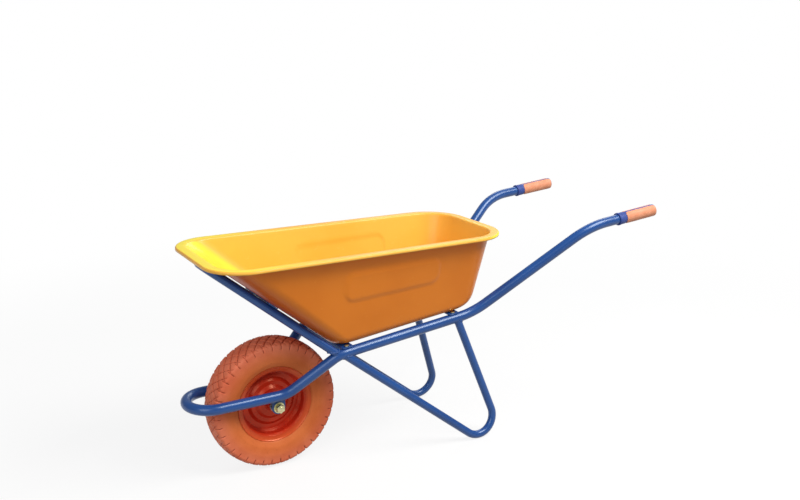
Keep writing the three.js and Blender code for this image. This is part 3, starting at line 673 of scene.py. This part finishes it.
def makeTray():
    size = traySizes
    wallDepth = wallTopHeight - floorPlane(floorFrontX)
    lastRise = 1 - size["crease"] / wallDepth
    lipInner = size["flange"] - size["sheet"]
    rises = [lastRise * (i / size["wallSteps"]) ** size["bunching"] for i in range(size["wallSteps"])]
    rings = [trayOutline(rise) for rise in rises]
    rings += roundedRings(trayOutline(lastRise), trayOutline(1), trayOutline(1, size["crease"]),
                          size["creaseSteps"])
    rings += roundedRings(trayOutline(1, lipInner - size["lipRound"]), trayOutline(1, lipInner),
                          trayOutline(1, lipInner, size["lipRound"]), size["lipSteps"])
    rings.append(trayOutline(1, lipInner, size["lip"]))
    bm = bmesh.new()
    verts = bmesh.ops.create_circle(bm, segments=len(rings[0]), radius=1)["verts"]
    edges = edgesOf(verts)
    bmesh.ops.contextual_create(bm, geom=edges)
    for vert, place in zip(verts, rings[0]):
        vert.co = place
    for ring in rings[1:]:
        order = {vert.co.to_tuple(): i for i, vert in enumerate(verts)}
        made, edges = copyRing(bm, edges)
        verts = sorted(made, key=lambda vert: order[vert.co.to_tuple()])
        for vert, place in zip(verts, ring):
            vert.co = place
    tray = makePiece("trayShell", bm, "trayOut", "frame", ["tray"], crease=75, turnRound=True)
    tray.data.materials.append(finishes["trayIn"])
    wall = tray.modifiers.new("sheet", "SOLIDIFY")
    wall.thickness = size["sheet"]
    wall.offset = -1
    wall.use_even_offset = True
    wall.material_offset = 1
    wall.material_offset_rim = 1


makeTray()
print("tray ready")

# nose brace
noseMatrix = Matrix.Translation(deckMiddle) @ Matrix.Rotation(-noseAngle, 4, "Y")
toCentre = braceSizes["length"] - braceSizes["bend"]
braceHalfAngle = (math.atan2(mainSizes["deckHalf"], toCentre)
                  - math.asin(braceSizes["bend"] / math.hypot(toCentre, mainSizes["deckHalf"])))
braceTip = noseMatrix @ Vector((toCentre + braceSizes["bend"] / math.sin(braceHalfAngle), 0, 0))
braceFoot = noseMatrix @ Vector((0, mainSizes["deckHalf"], 0))
braceRoute = [braceFoot, braceTip, mirrored(braceFoot)]
brace = bendTube(braceRoute, [braceSizes["bend"]], braceSizes["radius"])
makePiece("noseBrace", brace, "frame", "frame", ["nose_brace"], crease=60)
for side, sign in bothSides.items():
    footing = braceFoot if sign > 0 else mirrored(braceFoot)
    heading = (braceTip - footing).normalized()
    along = deckHeading if sign > 0 else mirrored(deckHeading)
    bead = saddlePoints(footing, heading, braceSizes["radius"], footing, along, mainSizes["radius"])
    weldBead(f"weldBrace_{side}", bead)
print("nose brace ready")


# straps
def flatBar(name, matrix, halfLength, node):
    bm = bmesh.new()
    bmesh.ops.create_cube(bm, size=1)
    bmesh.ops.scale(bm, vec=(strapSizes["width"], 2 * halfLength, strapSizes["thick"]), verts=bm.verts)
    ends = [edge for edge in bm.edges if abs(edge.verts[0].co.z - edge.verts[1].co.z) > 1e-4]
    bmesh.ops.bevel(bm, geom=ends, offset=strapSizes["corner"], affect="EDGES", segments=5, profile=0.5,
                    material=-1)
    bmesh.ops.translate(bm, verts=bm.verts, vec=(0, 0, strapSizes["thick"] / 2))
    bmesh.ops.transform(bm, matrix=matrix, verts=bm.verts)
    makePiece(name, bm, "frame", "frame", [node], bevel=strapSizes["edge"])


rearTurn = (deckRear - deckFront).angle(shoulder - deckRear)
rearReach = mainSizes["deckRearBend"] * math.tan(rearTurn / 2)
deckLength = (deckRear - deckFront).length
strapPlaces = {"front": -strapSizes["frontBack"], "rear": rearReach + strapSizes["rearAhead"] - deckLength}
strapFace = mainSizes["radius"] + seatGap
noseFace = braceSizes["radius"] + seatGap
for end, x in strapPlaces.items():
    place = deckMatrix @ Matrix.Translation((x, 0, strapFace))
    flatBar(f"{end}Strap", place, mainSizes["deckHalf"] + strapSizes["overhang"], f"{end}_strap")
noseHalf = mainSizes["deckHalf"] - strapSizes["noseUp"] * math.tan(braceHalfAngle)
noseHalf += strapSizes["noseOverhang"]
noseStrapMatrix = noseMatrix @ Matrix.Translation((strapSizes["noseUp"], 0, noseFace))
flatBar("noseStrap", noseStrapMatrix, noseHalf, "nose_strap")
print("straps ready")

# bolts, washers and nuts
boltSizes = {
    "radius": 0.004, "headRadius": 0.0095, "headHeight": 0.0045, "headSkirt": 0.18, "headSteps": 8,
    "hexFlats": 0.013, "hexHeight": 0.0034, "hexChamfer": 0.0008, "nutHeight": 0.0065, "nutChamfer": 0.0009,
    "washerRadius": 0.009, "washerThick": 0.0016, "washerPlay": 0.0005, "washerEdge": 0.0003,
    "threadOut": 0.003, "floorHalf": 0.060, "noseHalf": 0.035, "turns": 28,
}
threadSizes = {"smallPitch": 0.00125, "axlePitch": 0.002, "root": 0.92, "end": 0.9}


# a threaded end as a profile of fine ridges, from low to high
def threadProfile(radius, low, high, pitch):
    count = max(int((high - low) / pitch), 1)
    points = []
    for i in range(count):
        start = low + (high - low) * i / count
        points += [(radius * threadSizes["root"], start), (radius, start + (high - low) * 0.5 / count)]
    return points + [(radius * threadSizes["end"], high)]


# a quarter turn in equal steps, without its start
def quarterTurn(steps):
    return [math.pi / 2 * i / steps for i in range(1, steps + 1)]


def domedHead():
    radius, height, skirt = boltSizes["headRadius"], boltSizes["headHeight"], boltSizes["headSkirt"]
    dome = [(radius * math.cos(a), height * (skirt + (1 - skirt) * math.sin(a)))
            for a in quarterTurn(boltSizes["headSteps"])]
    return [(radius, 0), (radius, height * skirt)] + dome[:-1] + [(0, height)]


def ringProfile(inner, outer, low, high):
    return [(inner, low), (outer, low), (outer, high), (inner, high)]


def trayBolt(name, matrix, headFace, clampFace):
    size = boltSizes
    washerTop = clampFace - seatGap
    washerLow = washerTop - size["washerThick"]
    nutTop = washerLow - seatGap
    low = nutTop - size["nutHeight"] - size["threadOut"]
    centre = matrix.translation
    axis = (matrix.to_3x3() @ up).normalized()
    thread = threadProfile(size["radius"], low, nutTop, threadSizes["smallPitch"])
    head = [(radius, headFace + height) for radius, height in domedHead()]
    profile = [(0, low)] + thread + [(size["radius"], headFace)] + head
    bolt = turnProfile(profile, centre, axis, size["turns"])
    makePiece(f"{name}Bolt", bolt, "zinc", "frame", [f"{name}_bolt"])
    ring = ringProfile(size["radius"] + size["washerPlay"], size["washerRadius"], washerLow, washerTop)
    washer = turnProfile(ring, centre, axis, size["turns"])
    makePiece(f"{name}Washer", washer, "zinc", "frame", [f"{name}_washer"], size["washerEdge"])
    nutPlace = matrix @ Matrix.Translation((0, 0, nutTop - size["nutHeight"]))
    nut = hexBlock(size["hexFlats"], size["nutHeight"], size["nutChamfer"], nutPlace)
    makePiece(f"{name}Nut", nut, "zinc", "frame", [f"{name}_nut"])


trayFloorTop = trayUnder + traySizes["sheet"]
noseWallTop = wallClearance + traySizes["sheet"]
for side, sign in bothSides.items():
    for end, x in strapPlaces.items():
        floorPlace = deckMatrix @ Matrix.Translation((x, sign * boltSizes["floorHalf"], 0))
        trayBolt(f"tray_{end}_{side}", floorPlace, trayFloorTop, strapFace)
        tubePlace = deckMatrix @ Matrix.Translation((x, sign * mainSizes["deckHalf"], strapTop))
        head = hexBlock(boltSizes["hexFlats"], boltSizes["hexHeight"], boltSizes["hexChamfer"], tubePlace)
        nodes = [f"strap_{end}_{side}_bolt"]
        makePiece(f"strap_{end}_{side}Bolt", head, "zinc", "frame", nodes)
    nosePlace = noseMatrix @ Matrix.Translation((strapSizes["noseUp"], sign * boltSizes["noseHalf"], 0))
    trayBolt(f"nose_{side}", nosePlace, noseWallTop, noseFace)
print("bolts ready")

# axle
axleSizes = {
    "radius": 0.008, "flats": 0.024, "nutHeight": 0.013, "nutChamfer": 0.0016, "headHeight": 0.010,
    "headChamfer": 0.0014, "threadOut": 0.004, "threadIn": 0.004, "threadRunOut": 0.001, "shankTurns": 40,
    "washerRadius": 0.017, "washerThick": 0.003, "washerEdge": 0.0005,
    "hubHalf": 0.046, "hubRadius": 0.024, "hubWall": 0.0037, "hubEdge": 0.0008,
    "bearingDepth": 0.012, "raceRadius": 0.0117, "outerRace": 0.0035, "pressGap": 0.0001, "raceEdge": 0.0004,
    "sealInside": 0.010, "sealOutside": 0.0012,
}
bracketSizes = {
    "inside": 0.0595, "thick": 0.005, "half": 0.021, "belowTube": 0.004, "edge": 0.0008, "turns": 28,
    "beadOut": 0.0008, "beadBelow": 0.001,
}
bracketOut = bracketSizes["inside"] + bracketSizes["thick"]
washerFace = bracketOut + seatGap
nutFace = washerFace + axleSizes["washerThick"] + seatGap


def makeBracket(side, sign):
    size = bracketSizes
    half = size["half"]
    inside = sign * size["inside"]
    bm = bmesh.new()
    start = bm.verts.new(fromAxle(-half, inside, 0))
    arc = bmesh.ops.spin(bm, geom=[start], cent=axle, axis=across, angle=-math.pi,
                         steps=size["turns"])["geom_last"]
    topHeight = mainSizes["loopHeight"] - size["belowTube"]
    tops = [bm.verts.new(fromAxle(x, inside, topHeight)) for x in (half, -half)]
    bm.edges.new((arc[0], tops[0]))
    bm.edges.new(tops)
    bm.edges.new((tops[1], start))
    bmesh.ops.contextual_create(bm, geom=list(bm.edges))
    made = bmesh.ops.extrude_face_region(bm, geom=list(bm.faces))["geom"]
    outer = [item for item in made if isinstance(item, bmesh.types.BMVert)]
    bmesh.ops.translate(bm, verts=outer, vec=(0, sign * size["thick"], 0))
    nodes = [f"axle_bracket_{side}"]
    makePiece(f"axleBracket_{side}", bm, "frame", "frame", nodes, bevel=size["edge"])
    seamY = sign * (bracketOut + size["beadOut"])
    drop = math.sqrt(mainSizes["radius"] ** 2 - (mainSizes["loopHalf"] - abs(seamY)) ** 2)
    seamZ = mainSizes["loopHeight"] - drop - size["beadBelow"]
    count = beadSizes["seamPoints"]
    seam = [fromAxle(-half + 2 * half * i / count, seamY, seamZ) for i in range(count + 1)]
    weldBead(f"weldBracket_{side}", seam, closed=False)


def turnedPart(name, profile, finish, body, nodes, bevel):
    makePiece(name, turnProfile(profile, axle, across, 64), finish, body, nodes, bevel)


# two distances out from the middle on one side, lowest first
def sideSpan(sign, first, second):
    return sorted((sign * first, sign * second))


axleBore = axleSizes["radius"] + seatGap
raceRadius = axleSizes["raceRadius"]
raceEdge = axleSizes["raceEdge"]
hubHalf = axleSizes["hubHalf"]
bearingIn = hubHalf - axleSizes["bearingDepth"]
for side, sign in bothSides.items():
    makeBracket(side, sign)
    span = sideSpan(sign, washerFace, washerFace + axleSizes["washerThick"])
    washer = ringProfile(axleBore, axleSizes["washerRadius"], *span)
    nodes = [f"axle_washer_{side}"]
    turnedPart(f"axleWasher_{side}", washer, "zinc", "frame", nodes, axleSizes["washerEdge"])
    span = sideSpan(sign, hubHalf + seatGap, bracketSizes["inside"] - seatGap)
    spacer = ringProfile(axleBore, raceRadius, *span)
    nodes = [f"axle_spacer_{side}"]
    turnedPart(f"axleSpacer_{side}", spacer, "zinc", "frame", nodes, raceEdge)
    race = ringProfile(axleBore, raceRadius, *sideSpan(sign, bearingIn, hubHalf))
    nodes = [f"bearing_inner_{side}"]
    turnedPart(f"bearingInner_{side}", race, "steel", "frame", nodes, raceEdge)

sleeveEnd = bearingIn - seatGap
sleeve = ringProfile(axleBore, raceRadius, -sleeveEnd, sleeveEnd)
turnedPart("axleSleeve", sleeve, "steel", "frame", ["axle_sleeve"], raceEdge)

acrossTurn = Matrix.Rotation(-math.pi / 2, 4, "X")  # turns a block's height to +Y
nutPlace = Matrix.Translation(fromAxle(0, nutFace, 0)) @ acrossTurn
nut = hexBlock(axleSizes["flats"], axleSizes["nutHeight"], axleSizes["nutChamfer"], nutPlace)
makePiece("axleNut", nut, "zinc", "frame", ["axle_nut"])
headPlace = Matrix.Translation(fromAxle(0, -nutFace - axleSizes["headHeight"], 0)) @ acrossTurn
bolt = hexBlock(axleSizes["flats"], axleSizes["headHeight"], axleSizes["headChamfer"], headPlace)
threadStart = nutFace + axleSizes["nutHeight"] - axleSizes["threadIn"]
threadEnd = nutFace + axleSizes["nutHeight"] + axleSizes["threadOut"]
shankRadius = axleSizes["radius"]
shank = [(0, -nutFace), (shankRadius, -nutFace), (shankRadius, threadStart - axleSizes["threadRunOut"])]
shank += threadProfile(shankRadius, threadStart, threadEnd, threadSizes["axlePitch"])
shank.append((0, threadEnd))
mergeInto(bolt, turnProfile(shank, axle, across, axleSizes["shankTurns"]))
makePiece("axleBolt", bolt, "zinc", "frame", ["axle_bolt"])
print("axle ready")

# wheel
rimSizes = {
    "sheet": 0.002, "drum": 0.098, "flange": 0.118, "edge": 0.038, "meet": 0.00215,
    "dish": 0.016, "step": 0.008, "dishRadius": 0.044, "stepRadius": 0.066, "slope": 0.010, "collar": 0.004,
    "drumRound": 0.007, "beadDrop": 0.011, "beadRise": 0.005,
    "lipFoot": (0.004, 0.0018), "lipEnd": (0.0005, 0.0014),
    "pressRound": 0.0016, "pressCrease": 12, "pressSegments": 4, "turns": 144,
}


# a line of (radius, distance) points thickened to its right
def thickened(line, thick):
    points = [Vector(point) for point in line]
    outer = []
    for i, point in enumerate(points):
        into = (point - points[i - 1]).normalized() if i else None
        out = (points[i + 1] - point).normalized() if i + 1 < len(points) else into
        along = ((into or out) + out).normalized()
        reach = thick / along.dot(into or out)
        outer.append((point.x + along.y * reach, point.y - along.x * reach))
    return [*line, *reversed(outer)]


# from the hub out to the lip that holds the tyre
def rimLine():
    size = rimSizes
    bore = axleSizes["hubRadius"] + seatGap
    dishFace = size["meet"] + size["dish"]
    stepFace = size["meet"] + size["step"]
    return [
        (bore, dishFace + size["collar"]),
        (bore + size["collar"], dishFace),
        (size["dishRadius"], dishFace),
        (size["dishRadius"] + size["slope"], stepFace),
        (size["stepRadius"], stepFace),
        (size["stepRadius"] + size["slope"], size["meet"]),
        (size["drum"] - size["drumRound"], size["meet"]),
        (size["drum"], size["meet"] + size["drumRound"]),
        (size["drum"], size["edge"] - size["beadDrop"]),
        (size["drum"] + size["beadRise"], size["edge"] - size["beadRise"]),
        (size["flange"] - size["lipFoot"][0], size["edge"] - size["lipFoot"][1]),
        (size["flange"] - size["lipEnd"][0], size["edge"] + size["lipEnd"][1]),
    ]


hubInner = axleSizes["hubRadius"] - axleSizes["hubWall"]
outerRaceBore = hubInner - axleSizes["outerRace"]
for side, sign in bothSides.items():
    profile = [(radius, sign * along) for radius, along in thickened(rimLine(), rimSizes["sheet"])]
    rim = turnProfile(profile, axle, across, rimSizes["turns"])
    piece = makePiece(f"rimHalf_{side}", rim, "rim", "wheel", [f"rim_half_{side}"],
                      rimSizes["pressRound"], rimSizes["pressCrease"])
    piece.modifiers["edges"].segments = rimSizes["pressSegments"]
    outer = ringProfile(outerRaceBore, hubInner - axleSizes["pressGap"], *sideSpan(sign, bearingIn, hubHalf))
    nodes = [f"bearing_outer_{side}"]
    turnedPart(f"bearingOuter_{side}", outer, "steel", "wheel", nodes, raceEdge)
    span = sideSpan(sign, hubHalf - axleSizes["sealInside"], hubHalf - axleSizes["sealOutside"])
    seal = ringProfile(raceRadius + seatGap, outerRaceBore - axleSizes["pressGap"], *span)
    nodes = [f"bearing_balls_{side}"]
    turnedPart(f"bearingSeal_{side}", seal, "steel", "wheel", nodes, raceEdge)

hub = ringProfile(hubInner, axleSizes["hubRadius"], -hubHalf, hubHalf)
turnedPart("hubTube", hub, "rim", "wheel", ["hub_tube"], axleSizes["hubEdge"])
print("rim and hub ready")

# tyre: seatPath and beadPath are steps from the rim's seat and bead
# wallPath is (radius, inset from the side)
tyreSizes = {
    "radius": 0.200, "halfWidth": 0.050, "beadRadius": 0.118,
    "seatPath": [(0, -0.012), (0.005, -0.008)],
    "beadPath": [(-0.007, -0.0062), (-0.003, -0.0045), (0.001, -0.001), (0.003, 0.0026), (0.004, 0.003)],
    "wallPath": [(0.140, 0.0025), (0.162, 0.0002), (0.182, 0.0012)], "wallEase": -0.6,
    "shoulderRise": 0.0135, "shoulderInset": 0.0145,
    "wallSteps": 8, "shoulderSteps": 11, "crownSteps": 20, "turns": 720,
}
treadSizes = {
    "pitches": 40, "repeat": 0.036, "grooveWidth": 0.0032, "grooveDepth": 0.0036, "cutFrom": 0.180,
    "fade": (0.002, 0.010), "notchFoot": 0.172, "notchRise": 0.008, "notchOff": (0.030, 0.038),
}
shoulderFoot, shoulderIn = tyreSizes["wallPath"][-1]
shoulderTop = shoulderFoot + tyreSizes["shoulderRise"]
crownHalf = tyreSizes["halfWidth"] - shoulderIn - tyreSizes["shoulderInset"]


# distance from a value to the nearest whole number
def toWhole(value):
    return abs(value - round(value))


# how deep the tread is cut at an angle, a distance off the middle and a radius
def treadDepth(angle, off, radius):
    size = treadSizes
    turn = angle / math.tau * size["pitches"]
    width = size["grooveWidth"] / (math.tau * tyreSizes["radius"] / size["pitches"])
    lean = 1 / size["repeat"]
    first = toWhole(turn + off * lean)
    second = toWhole(turn - off * lean)
    cut = max(smoothStep(width, width * 0.35, first), smoothStep(width, width * 0.35, second))
    half = tyreSizes["halfWidth"]
    fade = smoothStep(half - size["fade"][0], half - size["fade"][1], abs(off))
    notch = smoothStep(width * 0.8, width * 0.2, toWhole(turn + 0.25))
    notchHeight = smoothStep(size["notchFoot"], size["notchFoot"] + size["notchRise"], radius)
    notchSide = smoothStep(*size["notchOff"], abs(off))
    return max(cut * fade, notch * notchHeight * notchSide) * size["grooveDepth"]


def tyreProfile():
    size = tyreSizes
    half, top, edge = size["halfWidth"], size["radius"], rimSizes["edge"]
    seat = rimSizes["drum"] + rimSizes["sheet"] + seatGap
    inner = [(seat, 0)] + [(seat + out, edge + along) for out, along in size["seatPath"]]
    bead = [(size["beadRadius"] + out, edge + along) for out, along in size["beadPath"]]
    guide = bead[-1:] + [(radius, half - inset) for radius, inset in size["wallPath"]]
    firstEase = smoothStep(size["wallEase"], 1, 0)
    wall = []
    for (r1, y1), (r2, y2) in zip(guide, guide[1:]):
        for i in range(size["wallSteps"]):
            share = i / size["wallSteps"]
            ease = smoothStep(size["wallEase"], 1, share) - firstEase * (1 - share)
            wall.append((r1 + (r2 - r1) * share, y1 + (y2 - y1) * ease))
    shoulder = []
    for i in range(size["shoulderSteps"] + 1):
        angle = i / size["shoulderSteps"] * math.pi / 2
        rise = size["shoulderRise"] * math.sin(angle)
        inset = shoulderIn + size["shoulderInset"] * (1 - math.cos(angle))
        shoulder.append((shoulderFoot + rise, half - inset))
    crown = []
    for i in range(1, size["crownSteps"] + 1):
        share = 1 - i / size["crownSteps"]
        crown.append((top - (top - shoulderTop) * share ** 2, crownHalf * share))
    outer = inner + bead[:-1] + wall + shoulder + crown
    return outer[:-1] + [(top, 0)] + [(radius, -along) for radius, along in reversed(outer[1:-1])]


tyre = turnProfile(tyreProfile(), axle, across, tyreSizes["turns"])
for vert in tyre.verts:
    spoke = vert.co - axle
    off = spoke.y
    spoke.y = 0
    radius = spoke.length
    if radius > treadSizes["notchFoot"]:
        depth = treadDepth(math.atan2(spoke.z, spoke.x), off, radius)
        lift = smoothStep(treadSizes["cutFrom"], shoulderTop, radius)
        inward = spoke.normalized() * lift + across * math.copysign(1 - lift, off)
        vert.co -= inward.normalized() * depth
makePiece("foamTyre", tyre, "tyre", "wheel", ["tyre"], crease=80)
print("tyre ready")

# grips
gripSizes = {
    "length": 0.157, "bore": 0.0163, "core": 0.0188, "endRound": 0.004, "endWall": 0.004, "endSteps": 6,
    "turns": 64, "crease": 50,
    "collar": 0.0206, "collarLength": 0.028, "collarStep": 0.0012, "collarTaper": 0.004,
    "lipIn": 0.001, "lipStart": 0.0012, "lipEnd": 0.0052, "lipRun": 0.001,
    "cover": 0.0202, "window": 0.30, "corner": 0.010, "coverStart": 0.001, "coverStop": 0.0035,
    "coverSink": 0.0004, "coverEdge": 0.0006, "coverSteps": 60, "coverTurns": 40,
}


def gripProfile():
    size = gripSizes
    total, lip, end = size["length"], size["endRound"], size["length"] - size["endWall"]
    waist = size["collar"] - size["collarStep"]
    profile = [
        (size["bore"], 0), (size["collar"] - size["lipIn"], 0), (size["collar"], size["lipStart"]),
        (size["collar"], size["lipEnd"]), (waist, size["lipEnd"] + size["lipRun"]),
        (waist, size["collarLength"] - size["collarTaper"]), (size["core"], size["collarLength"]),
        (size["core"], total - lip),
    ]
    profile += [(size["core"] - lip + lip * math.cos(a), total - lip + lip * math.sin(a))
                for a in quarterTurn(size["endSteps"])]
    return profile + [(0, total), (0, end), (size["bore"], end)]


# two side panels, each a bent sheet with round corners
def gripPanels(start, axis):
    size = gripSizes
    panels = bmesh.new()
    upward = (up - axis * up.dot(axis)).normalized()
    low, high = size["collarLength"] + size["coverStart"], size["length"] - size["coverStop"]
    middle, half = (low + high) / 2, (high - low) / 2
    sweep = math.pi - 2 * size["window"]
    for turn in (0, math.pi):
        sheet = bmesh.new()
        first = Matrix.Rotation(turn + size["window"], 3, axis) @ upward
        count = size["coverSteps"]
        line = [sheet.verts.new(start + first * size["cover"] + axis * (low + (high - low) * i / count))
                for i in range(count + 1)]
        for a, b in zip(line, line[1:]):
            sheet.edges.new((a, b))
        bmesh.ops.spin(sheet, geom=line + list(sheet.edges), cent=start, axis=axis, angle=sweep,
                       steps=size["coverTurns"])
        for vert in sheet.verts:
            along = (vert.co - start).dot(axis)
            around = (vert.co - start - axis * along).angle(first) * size["cover"]
            nearest = min(around, sweep * size["cover"] - around)
            corner = size["corner"]
            if nearest < corner:
                inset = corner - math.sqrt(max(corner ** 2 - (corner - nearest) ** 2, 0))
                vert.co -= axis * (along - middle) * inset / half
        mergeInto(panels, sheet)
    return panels


def makeGrip(side, sign):
    size = gripSizes
    end = handleEnd if sign > 0 else mirrored(handleEnd)
    axis = handleAxis if sign > 0 else mirrored(handleAxis)
    start = end - axis * size["length"]
    core = turnProfile(gripProfile(), start, axis, size["turns"])
    nodes = [f"grip_core_{side}"]
    makePiece(f"gripCore_{side}", core, "gripBase", "frame", nodes, crease=size["crease"])
    panels = gripPanels(start, axis)
    nodes = [f"grip_cover_{side}"]
    piece = makePiece(f"gripCover_{side}", panels, "gripCover", "frame", nodes,
                      crease=size["crease"])
    sheet = piece.modifiers.new("panel", "SOLIDIFY")
    sheet.thickness = size["cover"] - size["core"] + size["coverSink"]
    sheet.offset = -1
    edges = piece.modifiers.new("edges", "BEVEL")
    edges.width = size["coverEdge"]
    edges.segments = 2
    edges.angle_limit = math.radians(size["crease"])


for side, sign in bothSides.items():
    makeGrip(side, sign)
print("grips ready")

# floor, backdrop and light
stageSizes = {
    "floor": 60, "below": 0.0005, "nearGlow": 0.84, "glowFrom": 1.2, "glowTo": 3.0,
    "bounce": 0.25, "seen": 0.9, "grain": 0.01, "sky": (0.93, 0.96, 1, 1), "skyStrength": 0.36,
}


def backdropPaint():
    paint = Paint("floorWhite", Roughness=0.8, Specular_IOR_Level=0.1)
    tree = paint.tree
    eye = paint.node("ShaderNodeLightPath", output="Is Camera Ray")
    gloss = paint.node("ShaderNodeLightPath", output="Is Glossy Ray")
    through = paint.node("ShaderNodeLightPath", output="Is Transmission Ray")
    grain = paint.spread(paint.noise(3, 2), 0.3, 0.7, -stageSizes["grain"], stageSizes["grain"])
    level = eye * (stageSizes["seen"] - stageSizes["bounce"]) + stageSizes["bounce"] + grain
    paint.feed("Base Color", paint.node("ShaderNodeCombineColor", {}, (level, level, level)))
    glow = paint.node("ShaderNodeEmission", {}, {"Color": (1, 1, 1, 1), "Strength": 1.0})
    far = paint.node("ShaderNodeVectorMath", {"operation": "LENGTH"}, {0: paint.place}, "Value")
    fade = paint.spread(far, stageSizes["glowFrom"], stageSizes["glowTo"], stageSizes["nearGlow"], 1)
    share = (eye + gloss + through) * fade
    body = Wire(paint, paint.shader.outputs[0])
    mixed = paint.node("ShaderNodeMixShader", {}, {0: share, 1: body, 2: glow})
    tree.links.new(mixed.socket, tree.nodes["Material Output"].inputs["Surface"])
    return paint.material


bm = bmesh.new()
bmesh.ops.create_grid(bm, x_segments=4, y_segments=4, size=stageSizes["floor"] / 2)
floorMesh = bpy.data.meshes.new("floor")
bm.to_mesh(floorMesh)
bm.free()
floorMesh.materials.append(backdropPaint())
floor = bpy.data.objects.new("floor", floorMesh)
floor.location.z = -stageSizes["below"]
scene.collection.objects.link(floor)

world = bpy.data.worlds.new("studio")
scene.world = world
world.use_nodes = True
sky = world.node_tree
plain = sky.nodes["Background"]
plain.inputs["Color"].default_value = stageSizes["sky"]
plain.inputs["Strength"].default_value = stageSizes["skyStrength"]
seen = sky.nodes.new("ShaderNodeBackground")
seen.inputs["Color"].default_value = (1, 1, 1, 1)
path = sky.nodes.new("ShaderNodeLightPath")
choose = sky.nodes.new("ShaderNodeMixShader")
sky.links.new(path.outputs["Is Camera Ray"], choose.inputs[0])
sky.links.new(plain.outputs[0], choose.inputs[1])
sky.links.new(seen.outputs[0], choose.inputs[2])
sky.links.new(choose.outputs[0], sky.nodes["World Output"].inputs["Surface"])

lamps = {
    "key": {
        "place": (-1.3, 1.8, 3.4), "aim": (0, 0, 0.4), "size": (2.2, 1.8), "power": 140,
        "color": (1, 0.98, 0.94),
    },
    "front": {
        "place": (3.0, 2.2, 2.0), "aim": (0.3, 0, 0.3), "size": (2.2, 2.2), "power": 42,
        "color": (1, 0.99, 0.97),
    },
    "back": {
        "place": (-2.4, -2.6, 2.6), "aim": (0, 0, 0.5), "size": (2.4, 1.4), "power": 26,
        "color": (1, 1, 1),
    },
}
for name, lamp in lamps.items():
    light = bpy.data.lights.new(name, "AREA")
    light.shape = "RECTANGLE"
    light.size, light.size_y = lamp["size"]
    light.energy = lamp["power"]
    light.color = lamp["color"]
    holder = bpy.data.objects.new(name, light)
    holder.location = lamp["place"]
    beam = Vector(lamp["aim"]) - Vector(lamp["place"])
    holder.rotation_euler = beam.to_track_quat("-Z", "Y").to_euler()
    scene.collection.objects.link(holder)
scene.view_settings.view_transform = "Standard"
print("stage ready")
